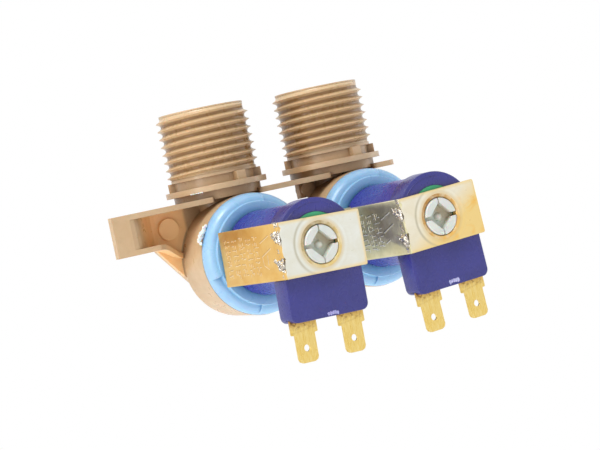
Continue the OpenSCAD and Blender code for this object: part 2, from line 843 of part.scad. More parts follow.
module diaphragm_insert(side) {
    disc_back = pad_front + fit_clear;
    fin_front = pad_back - 0.5;
    fin_r = seat_bore_r - 3 * slip_clear;
    color(WHITE) at_valve(side) difference() {
        union() {
            disc(insert_r, disc_back, insert_front - 0.4);
            disc(tip_r + 0.6, disc_back, insert_front);
            disc(stem_r, fin_front - fin_len, disc_back + bite);
            intersection() {
                disc(fin_r, fin_front - fin_len, fin_front);
                for (a = [0, 90]) {
                    rotate([0, 0, a]) translate([-fin_r, -fin_t / 2, fin_front - fin_len]) {
                        cube([2 * fin_r, fin_t, fin_len]);
                    }
                }
            }
        }
        disc(pilot_hole_r, fin_front - fin_len - bite, insert_front + bite);
    }
}

module plunger(side) {
    color(STEEL) at_valve(side) difference() {
        rotate_extrude() {
            polygon([[tip_r + slip_clear, plunger_back], [plunger_r - 0.4, plunger_back],
                [plunger_r, plunger_back + 0.4], [plunger_r, plunger_front - 0.4],
                [plunger_r - 0.4, plunger_front], [spring_pocket_r, plunger_front],
                [spring_pocket_r, plunger_front - spring_pocket_d],
                [0, plunger_front - spring_pocket_d], [0, plunger_back + tip_in],
                [tip_r + slip_clear, plunger_back + tip_in]]);
        }
        for (a = [0, 180]) {
            rotate([0, 0, a]) translate([plunger_r - 0.5, -0.5, plunger_back - bite]) {
                cube([1, 1, plunger_front - plunger_back + 2 * bite]);
            }
        }
    }
}

module plunger_tip(side) {
    color(BLACK) at_valve(side) rotate_extrude() {
        polygon([[0, tip_back], [tip_r - 0.3, tip_back], [tip_r, tip_back + 0.3],
            [tip_r, plunger_back + tip_in - fit_clear], [0, plunger_back + tip_in - fit_clear]]);
    }
}

// One turn of wire is a ring of points, swept up the helix
module plunger_spring(side) {
    z0 = plunger_front - spring_pocket_d + wire_r + fit_clear;
    z1 = bore_end - wire_r - fit_clear;
    turn_steps = 14;
    sides = 6;
    rings = spring_turns * turn_steps;
    points = [for (i = [0:rings], j = [0:sides - 1])
        let (a = i * 360 / turn_steps, b = j * 360 / sides, r = spring_r + wire_r * cos(b))
        [r * cos(a), r * sin(a), z0 + (z1 - z0) * i / rings + wire_r * sin(b)]];
    walls = [for (i = [0:rings - 1], j = [0:sides - 1])
        [i * sides + j, i * sides + (j + 1) % sides,
            (i + 1) * sides + (j + 1) % sides, (i + 1) * sides + j]];
    caps = [[for (j = [sides - 1:-1:0]) j], [for (j = [0:sides - 1]) rings * sides + j]];
    color(STEEL) at_valve(side) polyhedron(points, concat(walls, caps));
}

// Coil, turned about the valve's axis

module coil_bobbin(side) {
    front = plate_rear - fit_clear;
    rear = case_back + fit_clear;
    sleeve_end = yoke_back + sleeve_len + fit_clear;
    color(GREEN) at_coil(side) difference() {
        union() {
            disc(bobbin_flange_r, rear, rear + bobbin_flange_t);
            disc(bobbin_r, rear, front);
            disc(bobbin_flange_r, flange2_back, flange2_back + bobbin_flange_t);
            flatted_disc(boss_show_r, boss_flat, flange2_back, front);
        }
        disc(sleeve_bore_r, rear - bite, front + bite);
        disc(bobbin_bore_r, rear - bite, sleeve_end);
    }
}

module coil_winding(side) {
    z0 = case_back + 2 * fit_clear + bobbin_flange_t;
    z1 = flange2_back - fit_clear;
    color(COPPER) at_coil(side) difference() {
        disc(winding_r, z0, z1);
        disc(bobbin_r + fit_clear, z0 - bite, z1 + bite);
    }
}

module coil_case(side) {
    pocket_front = flange2_back + bobbin_flange_t + fit_clear;
    color(PURPLE) at_coil(side) difference() {
        union() {
            disc(case_r, yoke_back + 2 * slip_clear, slab_back + bite);
            disc(slab_r, slab_back, plate_rear);
            terminal_block();
        }
        disc(pocket_r, yoke_back, pocket_front);
        flatted_disc(boss_show_r + fit_clear, boss_flat + fit_clear, pocket_front - bite, plate_rear + bite);
        back_plate_room();
        side_plate_room();
        for (hand = [-1, 1]) terminal_blank(hand, fit_clear);
    }
}

// Block below the coil that carries the terminals
module terminal_block() {
    low = slab_drop - slab_round;
    translate([0, 0, slab_back]) linear_extrude(slab_depth) {
        polygon(concat(
            [[-slab_half, 0]],
            arc(-slab_half + slab_round, -low, slab_round, 180, 270),
            arc(slab_half - slab_round, -low, slab_round, 270, 360),
            [[slab_half, 0]]));
    }
}

// Disc with a flat below its axis
module flatted_disc(r, flat, z0, z1) {
    difference() {
        disc(r, z0, z1);
        translate([-2 * r, -flat - 2 * r, z0 - bite]) cube([4 * r, 2 * r, z1 - z0 + 2 * bite]);
    }
}

// Room in the case for the yoke's back plate
module back_plate_room() {
    half = yoke_h / 2 + slip_clear;
    translate([-2 * case_r, -half, yoke_back]) cube([4 * case_r, 2 * half, case_back - yoke_back]);
}

// Room in the case for the yoke's side plate
module side_plate_room() {
    inner = steel_t + slip_clear;
    in_plan(yoke_h + 2 * slip_clear) {
        polygon([[-2 * slab_r, yoke_back], [-yoke_left - yoke_splay + inner, yoke_back],
            [-yoke_left + inner, yoke_front], [-2 * slab_r, yoke_front]]);
    }
}

module flux_sleeve(side) {
    color(STEEL) at_coil(side) difference() {
        disc(sleeve_r, yoke_back, yoke_back + sleeve_len);
        disc(sleeve_bore_r, yoke_back - bite, yoke_back + sleeve_len + bite);
    }
}

// Back plate and side plate, bent from one strip
module yoke_strap(side) {
    rear_left = -yoke_left - yoke_splay;
    color(GOLD) at_coil(side) difference() {
        in_plan(yoke_h) {
            polygon(concat(
                [[yoke_right - fit_clear, yoke_back + steel_t], [yoke_right - fit_clear, yoke_back]],
                arc(rear_left + bend_r, yoke_back + bend_r, bend_r, 270, 180),
                [[-yoke_left, yoke_front], [-yoke_left + steel_t, yoke_front],
                    [rear_left + steel_t, yoke_back + steel_t]]));
        }
        disc(sleeve_r + fit_clear, yoke_back - bite, yoke_back + steel_t + bite);
        for (hand = [-1, 1]) tongue_notch(hand);
    }
}

module tongue_notch(hand) {
    low = min(hand * tongue_in, hand * tongue_out);
    translate([-yoke_left - steel_t, low, plate_rear - fit_clear]) {
        cube([3 * steel_t, tongue_out - tongue_in, steel_t + bite]);
    }
}

module yoke_front_plate(side) {
    left = -yoke_left + steel_t + slip_clear;
    tongue_h = tongue_out - tongue_in - 2 * fit_clear;
    color(GOLD) at_coil(side) difference() {
        union() {
            translate([left, -yoke_h / 2, plate_rear]) cube([yoke_right - left, yoke_h, steel_t]);
            for (hand = [-1, 1]) {
                translate([-yoke_left, hand * (tongue_in + tongue_out) / 2 - tongue_h / 2, plate_rear]) {
                    cube([left + yoke_left + bite, tongue_h, steel_t]);
                }
            }
        }
        disc(front_hole_r, plate_rear - bite, yoke_front + bite);
        disc(coin_r, yoke_front - coin_d, yoke_front + bite);
    }
}

// Outline of a terminal, grown by a clearance
module terminal_blank(hand, grow) {
    top = slab_drop - root_len;
    shoulder = slab_drop + shoulder_h;
    tip = shoulder + blade_len;
    wide = shoulder_w / 2 + grow;
    thin = blade_w / 2 + grow;
    translate([hand * blade_half_pitch, 0, blade_mid - blade_t / 2 - grow]) {
        linear_extrude(blade_t + 2 * grow) {
            polygon([[-wide, -top + grow], [-wide, -shoulder], [-thin, -shoulder],
                [-thin, -tip + blade_chamfer], [-thin + blade_chamfer, -tip],
                [thin - blade_chamfer, -tip], [thin, -tip + blade_chamfer],
                [thin, -shoulder], [wide, -shoulder], [wide, -top + grow]]);
        }
    }
}

module terminal(side, hand) {
    hole_y = -slab_drop - shoulder_h - blade_hole_drop;
    color(GOLD) at_coil(side) difference() {
        terminal_blank(hand, 0);
        translate([hand * blade_half_pitch, hole_y, 0]) {
            disc(blade_hole_r, blade_mid - blade_t, blade_mid + blade_t);
        }
    }
}

valve_body();
inlet_screen(a_side);  // inlet_screen_a
flow_washer(a_side);  // flow_washer_a
retaining_ring(a_side);  // retaining_ring_a
guide_tube(a_side);  // guide_tube_a
diaphragm(a_side);  // diaphragm_a
diaphragm_insert(a_side);  // diaphragm_insert_a
plunger(a_side);  // plunger_a
plunger_tip(a_side);  // plunger_tip_a
plunger_spring(a_side);  // plunger_spring_a
coil_bobbin(a_side);  // coil_bobbin_a
coil_winding(a_side);  // coil_winding_a
coil_case(a_side);  // coil_case_a
flux_sleeve(a_side);  // flux_sleeve_a
yoke_strap(a_side);  // yoke_strap_a
yoke_front_plate(a_side);  // yoke_front_plate_a
terminal(a_side, -1);  // terminal_left_a
terminal(a_side, 1);  // terminal_right_a
inlet_screen(b_side);  // inlet_screen_b
flow_washer(b_side);  // flow_washer_b
retaining_ring(b_side);  // retaining_ring_b
guide_tube(b_side);  // guide_tube_b
diaphragm(b_side);  // diaphragm_b
diaphragm_insert(b_side);  // diaphragm_insert_b
plunger(b_side);  // plunger_b
plunger_tip(b_side);  // plunger_tip_b
plunger_spring(b_side);  // plunger_spring_b
coil_bobbin(b_side);  // coil_bobbin_b
coil_winding(b_side);  // coil_winding_b
coil_case(b_side);  // coil_case_b
flux_sleeve(b_side);  // flux_sleeve_b
yoke_strap(b_side);  // yoke_strap_b
yoke_front_plate(b_side);  // yoke_front_plate_b
terminal(b_side, -1);  // terminal_left_b
terminal(b_side, 1);  // terminal_right_b
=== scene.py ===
import math
import random

import bmesh
import bpy
from mathutils import Matrix, Vector, noise


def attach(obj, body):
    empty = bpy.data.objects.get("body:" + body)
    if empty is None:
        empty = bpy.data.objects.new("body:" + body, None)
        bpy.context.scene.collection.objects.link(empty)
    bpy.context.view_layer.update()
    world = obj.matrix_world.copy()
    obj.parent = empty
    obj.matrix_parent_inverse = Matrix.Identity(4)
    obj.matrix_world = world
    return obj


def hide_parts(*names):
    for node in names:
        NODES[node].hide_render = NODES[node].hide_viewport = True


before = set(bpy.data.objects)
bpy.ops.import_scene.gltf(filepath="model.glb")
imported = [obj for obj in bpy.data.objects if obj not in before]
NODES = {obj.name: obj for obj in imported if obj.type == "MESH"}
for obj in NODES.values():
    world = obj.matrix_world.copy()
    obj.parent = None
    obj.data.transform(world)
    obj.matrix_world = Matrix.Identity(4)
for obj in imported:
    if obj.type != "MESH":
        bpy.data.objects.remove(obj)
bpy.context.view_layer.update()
MM = 0.001
# without a seed, noise_vector takes its offsets from the clock
noise.seed_set(5)

# Sizes in millimetres, mostly as in the part's source. u is the distance in front of the chambers' plane.
INLET_X = 20.1
COIL_DROP = 18.55
# degrees that each coil is turned about its tube
TURN = {"a": -1.9, "b": 2.7}
SIDE = {"a": -1, "b": 1}

# inlets
THREAD_Z = 6.85
LEAD_Z = 25.55
ROOT_R = 12.4
CREST_R = 13.65
PITCH = 2.335
THREAD_START = math.radians(206)
TURN_STEPS = 96
FLANGE_R = 15.0

# yoke
YOKE_BACK = 20.3
YOKE_FRONT = 52.5
STEEL = 1.5
YOKE_LEFT = 12.65
YOKE_RIGHT = 13.55
YOKE_H = 15.6
YOKE_SPLAY = 1.9
BEND_R = 2.0
HOLE_R = 5.6
HOLE_STEPS = 72

# guide tube's end, from the bottom of its square socket to its face
SOCKET_FROM = 51.0
SOCKET_TO = 52.6

# retaining ring, its ramps in degrees
RIM_FRONT = 15.6
RING_WALL_R = 14.8
RING_FRONT = 20.0
RING_R = 17.6
RING_OPEN_R = 11.6
COLLAR_R = 15.0
RAMP_START = 75.0
RAMP_SPAN = 120.0

# coil case and blades
CASE_R = 12.95
CASE_FRONT = 51.0
BLOCK_BACK = 44.5
SLAB_DROP = 19.9
BLADE_U = 47.9
BLADE_X = 7.67
BLADE_T = 0.8


def coil_matrix(side, turned=True):
    """Millimetres in a valve's own frame (x across, y up, z forward) to metres in the part's frame."""
    t = math.radians(TURN[side]) if turned else 0.0
    c, s = math.cos(t), math.sin(t)
    rot = Matrix(((c, -s, 0, SIDE[side] * INLET_X), (0, 0, -1, 0), (s, c, 0, -COIL_DROP), (0, 0, 0, 1)))
    return Matrix.Scale(MM, 4) @ rot


def inlet_matrix(side):
    """Millimetres about an inlet's axis to metres in the part's frame."""
    return Matrix.Scale(MM, 4) @ Matrix.Translation((SIDE[side] * INLET_X, 0, 0))


# ---------------------------------------------------------------- materials


class Shader:
    """A material whose nodes are added one after another."""

    def __init__(self, name):
        self.mat = bpy.data.materials.new(name)
        self.mat.use_nodes = True
        self.tree = self.mat.node_tree
        self.tree.nodes.clear()
        self.out = self.tree.nodes.new("ShaderNodeOutputMaterial")

    def add(self, kind, inputs=None, out=0, **props):
        node = self.tree.nodes.new("ShaderNode" + kind)
        for key, value in props.items():
            setattr(node, key, value)
        for key, value in (inputs or {}).items():
            if isinstance(value, bpy.types.NodeSocket):
                self.tree.links.new(value, node.inputs[key])
            else:
                node.inputs[key].default_value = value
        return node.outputs[out]

    def math(self, op, a, b=0.0):
        return self.add("Math", {0: a, 1: b}, operation=op)

    def product(self, first, *rest):
        for value in rest:
            first = self.math("MULTIPLY", first, value)
        return first

    def split(self, vector):
        node = self.tree.nodes.new("ShaderNodeSeparateXYZ")
        self.tree.links.new(vector, node.inputs[0])
        return tuple(node.outputs)

    def ramp(self, value, stops):
        """stops are (position, colour), at least two."""
        node = self.tree.nodes.new("ShaderNodeValToRGB")
        ramp = node.color_ramp
        while len(ramp.elements) < len(stops):
            ramp.elements.new(0.5)
        for element, (pos, colour) in zip(ramp.elements, stops):
            element.position = pos
            element.color = tuple(colour) + (1.0,)
        self.tree.links.new(value, node.inputs["Fac"])
        return node.outputs["Color"]

    def mix(self, fac, a, b):
        node = self.tree.nodes.new("ShaderNodeMix")
        node.data_type = "RGBA"
        for socket, value in ((node.inputs[0], fac), (node.inputs[6], a), (node.inputs[7], b)):
            if isinstance(value, bpy.types.NodeSocket):
                self.tree.links.new(value, socket)
            elif isinstance(value, tuple) and len(value) == 3:
                socket.default_value = value + (1.0,)
            else:
                socket.default_value = value
        return node.outputs[2]

    def span(self, value, lo, hi, out_lo=0.0, out_hi=1.0):
        """Maps lo..hi onto out_lo..out_hi and stops at the ends; lo may be the larger one."""
        return self.add("MapRange", {"Value": value, "From Min": lo, "From Max": hi,
                                     "To Min": out_lo, "To Max": out_hi}, clamp=True)

    def noise(self, coords, scale, detail=3.0, rough=0.55, distortion=0.0):
        return self.add("TexNoise", {"Vector": coords, "Scale": scale, "Detail": detail,
                                     "Roughness": rough, "Distortion": distortion})

    def surface(self, **inputs):
        names = {k.replace("_", " "): v for k, v in inputs.items()}
        bsdf = self.add("BsdfPrincipled", names)
        self.tree.links.new(bsdf, self.out.inputs["Surface"])
        return self.mat


def nylon(name, base, light, deep, rough=0.42, sss=0.12, grain=0.05, edge=0.00022, ao_from=0.25, ao_to=0.95,
          valley_shade=None, glow=None, thin=None):
    """Moulded nylon: cloudy colour, painted shade in the recesses, soft edges and a faint grain.

    valley is painted shade between thread ridges; glow is painted light, the warm glow of light through
    the ear's thin, translucent walls; thin is painted light, a brighter, bluer tone where more light falls
    on a coil case's rear cylinder behind its front block.
    """
    s = Shader(name)
    at = s.add("TexCoord", out=3)
    clouds = s.noise(at, 70.0, 4.0, 0.6, 0.4)
    fine = s.noise(at, 1400.0, 2.0)
    flow = s.noise(at, 260.0, 5.0, 0.65, 1.2)
    tone = s.mix(s.span(clouds, 0.32, 0.68), base, light)
    tone = s.mix(s.span(flow, 0.45, 0.75, 0.0, 0.14), tone, deep)
    x, y, z = s.split(at)
    # painted light: the case's rear cylinder, behind its front block, takes a brighter, bluer tone where more
    # light falls
    if thin:
        tone = s.mix(s.span(y, (-BLOCK_BACK - 0.5) * MM, (-BLOCK_BACK + 0.5) * MM), tone, thin)
    if glow:
        # painted light: the ear's thin walls glow warm as if lit through, left of chamber a, below the plate's
        # top, between the ear's flat face and its back; the painted shade there becomes the glow too
        flat = s.add("CombineXYZ", {"X": s.math("ADD", x, INLET_X * MM), "Y": s.math("ADD", z, COIL_DROP * MM)})
        reach = s.add("VectorMath", {0: flat}, out=1, operation="LENGTH")
        zone = s.product(s.span(reach, 0.0175, 0.0178), s.span(x, -0.0335, -0.0345), s.span(z, 0.0016, 0.0008),
                         s.span(y, -0.0105, -0.0060), s.span(y, -0.0014, -0.0022))
        tone = s.mix(zone, tone, glow)
        deep = s.mix(zone, deep, glow)
    # painted shade: the colour turns to deep where ambient occlusion finds recesses, corners and gaps between
    # parts
    hidden = s.add("AmbientOcclusion", {"Distance": 0.007}, out=1, samples=6)
    tone = s.mix(s.span(hidden, ao_from, ao_to, 1.0, 0.0), tone, deep)
    # painted shade: darker towards the valley tone away from the thread's crests
    if valley_shade:
        _, away, _, _ = local_xyz(s)
        tone = s.mix(s.span(away, 0.20, 0.36), tone, valley_shade)
    soft = s.add("Bevel", {"Radius": edge}, samples=4)
    bump = s.add("Bump", {"Strength": grain, "Distance": 0.0004, "Height": s.mix(0.5, fine, flow),
                          "Normal": soft})
    shine = s.span(flow, 0.3, 0.7, rough - 0.06, rough + 0.08)
    return s.surface(Base_Color=tone, Roughness=shine, Normal=bump, Subsurface_Weight=sss,
                     Subsurface_Scale=0.0015, IOR=1.5)


def local_xyz(s):
    """Position in the piece's own millimetre frame, kept in its loc attribute."""
    loc = s.add("Attribute", attribute_name="loc", out=1)
    return (loc,) + s.split(loc)


def plate_steel(name, cream, pale, warm_at, warm_x, warm_y):
    """Cream passivated plate, gold along its edges, with faint coined rings around the hole darkened by painted
    shade, and a painted shadow arc left of the hole.

    It turns gold where x * warm_x + y * warm_y goes past warm_at.
    """
    s = Shader(name)
    loc, x, y, _ = local_xyz(s)
    blot = s.noise(loc, 0.16, 4.0, 0.6, 0.8)
    streak = s.noise(s.add("Mapping", {"Vector": loc, "Scale": (0.35, 2.4, 1.0)}), 1.4, 5.0, 0.65)
    gold, amber = (0.87, 0.64, 0.25), (0.88, 0.49, 0.08)
    tone = s.mix(s.span(blot, 0.35, 0.65), cream, pale)
    edge_y = s.span(s.math("ABSOLUTE", y), YOKE_H / 2 - 1.1, YOKE_H / 2 - 0.1)
    edge_x = s.span(x, YOKE_RIGHT - 1.0, YOKE_RIGHT - 0.1)
    rim = s.math("MAXIMUM", edge_x, edge_y)
    corner = s.math("ADD", s.math("MULTIPLY", x, warm_x), s.math("MULTIPLY", y, warm_y))
    corner = s.math("ADD", corner, s.math("MULTIPLY", blot, 6.0))
    warm = s.span(corner, warm_at, warm_at + 9.0)
    tone = s.mix(warm, tone, gold)
    tone = s.mix(s.math("MULTIPLY", warm, s.span(blot, 0.5, 0.7)), tone, amber)
    tone = s.mix(s.math("MULTIPLY", rim, 0.75), tone, gold)
    radius = s.add("VectorMath", {0: s.add("CombineXYZ", {"X": x, "Y": y})}, out=1, operation="LENGTH")
    halo = s.span(radius, 6.2, 7.6, 1.0, 0.0)
    tone = s.mix(s.math("MULTIPLY", halo, 0.8), tone, (0.72, 0.53, 0.24))
    # painted shadow: a dark arc at radius 8.5 on the hole's left, where the coined step is in shade
    step_shadow = s.span(s.math("ABSOLUTE", s.math("SUBTRACT", radius, 8.5)), 0.0, 0.55, 1.0, 0.0)
    step_shadow = s.math("MULTIPLY", step_shadow, s.span(x, -2.0, -7.0))
    tone = s.mix(s.math("MULTIPLY", step_shadow, 0.7), tone, (0.42, 0.38, 0.26))
    # the coined rings are real relief in the bump; their darkening in the colour is painted shade
    ring = s.math("SINE", s.math("MULTIPLY", radius, 4.2))
    ring = s.math("MULTIPLY", ring, s.span(radius, 8.2, 10.5, 1.0, 0.0))
    tone = s.mix(s.span(ring, -1.0, 1.0, 0.10, 0.0), tone, (0.60, 0.52, 0.34))
    height = s.math("ADD", s.math("MULTIPLY", ring, 0.35), s.math("MULTIPLY", streak, 0.5))
    step = s.span(radius, 8.2, 8.6, 0.0, 1.2)
    bump = s.add("Bump", {"Strength": 0.35, "Distance": 0.00012, "Height": s.math("ADD", height, step)})
    return s.surface(Base_Color=tone, Metallic=0.85, Roughness=s.span(streak, 0.3, 0.7, 0.27, 0.42),
                     Normal=bump)


def strap_steel(name, base, light, dark):
    """Passivated strap with a soft iridescent drift and rolling marks across its width."""
    s = Shader(name)
    loc, _, y, _ = local_xyz(s)
    blot = s.noise(loc, 0.13, 4.0, 0.6, 1.0)
    streak = s.noise(s.add("Mapping", {"Vector": loc, "Scale": (1.0, 0.25, 3.0)}), 1.6, 5.0, 0.65)
    tone = s.mix(s.span(blot, 0.35, 0.65), base, light)
    tone = s.mix(s.span(streak, 0.5, 0.8, 0.0, 0.5), tone, dark)
    edge = s.span(s.math("ABSOLUTE", y), YOKE_H / 2 - 0.7, YOKE_H / 2 - 0.05)
    tone = s.mix(s.math("MULTIPLY", edge, 0.6), tone, light)
    bump = s.add("Bump", {"Strength": 0.3, "Distance": 0.0001, "Height": streak})
    shine = s.span(blot, 0.3, 0.7, 0.29, 0.42)
    return s.surface(Base_Color=tone, Metallic=0.85, Roughness=shine, Normal=bump)


def burr_steel(name):
    """Bare steel where the strap and plate were staked together, its folds coloured with painted highlights and
    painted shade.
    """
    s = Shader(name)
    loc, _, _, _ = local_xyz(s)
    chop = s.noise(loc, 2.3, 3.0, 0.6, 0.8)
    # painted shade in the near-black bands and painted highlights in the near-white ones; the orange bands are
    # gold spots
    tone = s.ramp(chop, [(0.38, (0.10, 0.08, 0.06)), (0.46, (0.52, 0.48, 0.42)),
                         (0.55, (0.88, 0.87, 0.84)), (0.64, (0.80, 0.52, 0.16))])
    bump = s.add("Bump", {"Strength": 0.6, "Distance": 0.0002, "Height": chop})
    return s.surface(Base_Color=tone, Metallic=0.9, Roughness=0.26, Normal=bump)


def rim_steel(name, bright, brown):
    """Bronze lip of the coined hole, turning brown with painted shade on its upper left."""
    s = Shader(name)
    loc, x, y, _ = local_xyz(s)
    blot = s.noise(loc, 0.4, 4.0, 0.6)
    # painted shade: the lip's upper-left side turns to the darker brown
    side = s.span(s.math("SUBTRACT", s.math("MULTIPLY", y, 0.7), s.math("MULTIPLY", x, 0.5)), -5.0, 5.0)
    tone = s.mix(side, bright, brown)
    tone = s.mix(s.span(blot, 0.45, 0.65, 0.0, 0.5), tone, (0.84, 0.78, 0.58))
    bump = s.add("Bump", {"Strength": 0.3, "Distance": 0.0001, "Height": s.noise(loc, 2.0)})
    return s.surface(Base_Color=tone, Metallic=0.85, Roughness=0.3, Normal=bump)


def stroke_steel(name, base, light):
    """Mottled steel of the coined strokes, lighter for their painted highlights and darker for their painted
    shadows.
    """
    s = Shader(name)
    loc, _, _, _ = local_xyz(s)
    worn = s.noise(loc, 0.8, 3.0)
    tone = s.mix(s.span(worn, 0.4, 0.65), base, light)
    bump = s.add("Bump", {"Strength": 0.4, "Distance": 0.0001, "Height": worn})
    return s.surface(Base_Color=tone, Metallic=0.6, Roughness=s.span(worn, 0.3, 0.7, 0.3, 0.5), Normal=bump)


def tube_nylon(name):
    """White end of the guide tube, grey-green inside its square socket, with painted shade on the socket's
    upper right.
    """
    s = Shader(name)
    at = s.add("TexCoord", out=3)
    x, y, z = s.split(at)
    clouds = s.noise(at, 300.0, 3.0)
    deep = s.span(y, -SOCKET_TO * MM, -SOCKET_FROM * MM)
    # painted shade: the socket turns darker and browner towards its upper right
    across = s.math("SUBTRACT", x, s.math("MULTIPLY", s.math("SIGN", x), INLET_X * MM))
    socket_shade = s.math("ADD", s.math("ADD", across, z), s.math("MULTIPLY", clouds, 0.004))
    socket_shade = s.mix(s.span(socket_shade, -0.0175, -0.0140), (0.58, 0.61, 0.53), (0.46, 0.40, 0.28))
    tone = s.mix(s.span(clouds, 0.3, 0.7), (0.62, 0.65, 0.61), (0.69, 0.71, 0.67))
    tone = s.mix(deep, tone, socket_shade)
    soft = s.add("Bevel", {"Radius": 0.0002}, samples=4)
    bump = s.add("Bump", {"Strength": 0.06, "Distance": 0.0003, "Height": clouds, "Normal": soft})
    return s.surface(Base_Color=tone, Roughness=0.36, Normal=bump, Subsurface_Weight=0.25,
                     Subsurface_Scale=0.0015)


def terminal_brass(name):
    """Brass blade, browned and blotched where it enters the case, with a coined line and groove."""
    s = Shader(name)
    loc, x, y, _ = local_xyz(s)
    blot = s.noise(loc, 1.1, 4.0, 0.6, 0.6)
    streak = s.noise(s.add("Mapping", {"Vector": loc, "Scale": (3.0, 0.5, 1.0)}), 1.3, 4.0, 0.6)
    tone = s.mix(s.span(streak, 0.35, 0.7), (0.78, 0.54, 0.13), (0.90, 0.72, 0.30))
    top = s.span(s.math("ADD", y, s.math("MULTIPLY", blot, 2.4)), 1.0, 3.4)
    tone = s.mix(s.math("MULTIPLY", top, 0.85), tone, (0.44, 0.21, 0.05))
    spots = s.math("MULTIPLY", s.span(blot, 0.56, 0.62), s.span(y, -0.5, 2.4))
    tone = s.mix(spots, tone, (0.16, 0.08, 0.03))
    crease = s.math("ADD", y, s.math("MULTIPLY", x, -0.16))
    line = s.span(s.math("ABSOLUTE", s.math("ADD", crease, 0.35)), 0.0, 0.45, 1.0, 0.0)
    tone = s.mix(s.math("MULTIPLY", line, 0.35), tone, (0.62, 0.42, 0.14))
    groove = s.span(s.math("ABSOLUTE", x), 0.1, 0.5, 1.0, 0.0)
    groove = s.math("MULTIPLY", groove, s.span(s.math("ABSOLUTE", s.math("ADD", y, 2.2)), 0.3, 1.3, 1.0, 0.0))
    height = s.math("SUBTRACT", s.math("MULTIPLY", streak, 0.4), s.math("ADD", line, groove))
    bump = s.add("Bump", {"Strength": 0.5, "Distance": 0.00015, "Height": height})
    return s.surface(Base_Color=tone, Metallic=0.9, Roughness=s.span(blot, 0.3, 0.7, 0.26, 0.4), Normal=bump)


def turned_steel(name, tone_a, tone_b, rough=0.3):
    """Steel with fine turning marks around its axis."""
    s = Shader(name)
    at = s.add("TexCoord", out=3)
    rings = s.noise(s.add("Mapping", {"Vector": at, "Scale": (0.2, 9.0, 0.2)}), 700.0, 2.0)
    tone = s.mix(s.span(rings, 0.3, 0.7), tone_a, tone_b)
    bump = s.add("Bump", {"Strength": 0.2, "Distance": 0.0001, "Height": rings})
    return s.surface(Base_Color=tone, Metallic=1.0, Roughness=rough, Normal=bump)


def copper_wire(name):
    """Close turns of enamelled wire."""
    s = Shader(name)
    at = s.add("TexCoord", out=3)
    turns = s.add("TexWave", {"Vector": at, "Scale": 1700.0, "Distortion": 0.4}, bands_direction="Y")
    tone = s.mix(turns, (0.35, 0.12, 0.04), (0.72, 0.36, 0.16))
    bump = s.add("Bump", {"Strength": 0.5, "Distance": 0.0001, "Height": turns})
    return s.surface(Base_Color=tone, Metallic=0.6, Roughness=0.35, Normal=bump)


def rubber(name):
    """Black rubber with a grey bloom."""
    s = Shader(name)
    at = s.add("TexCoord", out=3)
    bloom = s.noise(at, 160.0, 4.0)
    fine = s.noise(at, 2200.0, 2.0)
    tone = s.mix(s.span(bloom, 0.4, 0.7), (0.018, 0.018, 0.018), (0.045, 0.043, 0.04))
    bump = s.add("Bump", {"Strength": 0.2, "Distance": 0.0002, "Height": fine})
    return s.surface(Base_Color=tone, Roughness=s.span(bloom, 0.3, 0.7, 0.55, 0.75), Normal=bump)


def flash_white(name):
    """White, stress-whitened plastic of torn flash."""
    s = Shader(name)
    at = s.add("TexCoord", out=3)
    grain = s.noise(at, 900.0, 3.0)
    tone = s.mix(grain, (0.70, 0.74, 0.74), (0.92, 0.93, 0.92))
    bump = s.add("Bump", {"Strength": 0.5, "Distance": 0.0002, "Height": grain})
    return s.surface(Base_Color=tone, Roughness=0.5, Normal=bump, Subsurface_Weight=0.3, Subsurface_Scale=0.001)


# each nylon's third colour serves its darker streaks and its painted shade in recesses; tan's glow is painted
# light
TAN = nylon("tan_nylon", (0.565, 0.390, 0.220), (0.625, 0.450, 0.275), (0.300, 0.165, 0.070), rough=0.31,
            grain=0.05, ao_from=0.05, ao_to=0.80, glow=(0.84, 0.53, 0.25))
# valley is painted shade between the thread's ridges
THREAD = nylon("thread_nylon", (0.660, 0.475, 0.270), (0.720, 0.535, 0.330), (0.480, 0.290, 0.130), rough=0.28,
               grain=0.05, ao_from=0.0, valley_shade=(0.270, 0.145, 0.050))
BLUE = nylon("blue_nylon", (0.270, 0.500, 0.740), (0.360, 0.580, 0.810), (0.110, 0.330, 0.620), rough=0.30,
             sss=0.25, grain=0.03, ao_from=0.3)
# thin is painted light, a brighter, bluer tone on the case's rear cylinder
PURPLE = nylon("purple_nylon", (0.029, 0.030, 0.180), (0.040, 0.040, 0.240), (0.026, 0.028, 0.160), rough=0.27,
               sss=0.05, grain=0.012, edge=0.0004, ao_from=0.0, ao_to=0.6, thin=(0.040, 0.036, 0.330))
GREEN = nylon("green_nylon", (0.030, 0.360, 0.170), (0.060, 0.460, 0.240), (0.015, 0.200, 0.100), rough=0.35)
WHITE = nylon("white_nylon", (0.640, 0.700, 0.670), (0.760, 0.800, 0.780), (0.330, 0.360, 0.280), rough=0.34,
              sss=0.3, grain=0.03, ao_from=0.2)
TUBE = tube_nylon("tube_nylon")
SPRING = turned_steel("spring_wire", (0.50, 0.50, 0.50), (0.68, 0.68, 0.68))
PLUNGER = turned_steel("plunger_steel", (0.42, 0.42, 0.43), (0.62, 0.62, 0.62), 0.32)
SLEEVE = turned_steel("sleeve_steel", (0.48, 0.48, 0.46), (0.66, 0.66, 0.62), 0.38)
COPPER = copper_wire("winding_copper")
RUBBER = rubber("black_rubber")
BRASS = terminal_brass("terminal_brass")
BURR = burr_steel("staked_steel")
# each lip's second colour is its painted shade on the upper left
RIM = {"a": rim_steel("hole_rim_a", (0.80, 0.60, 0.24), (0.40, 0.30, 0.15)),
       "b": rim_steel("hole_rim_b", (0.86, 0.52, 0.14), (0.46, 0.24, 0.07))}
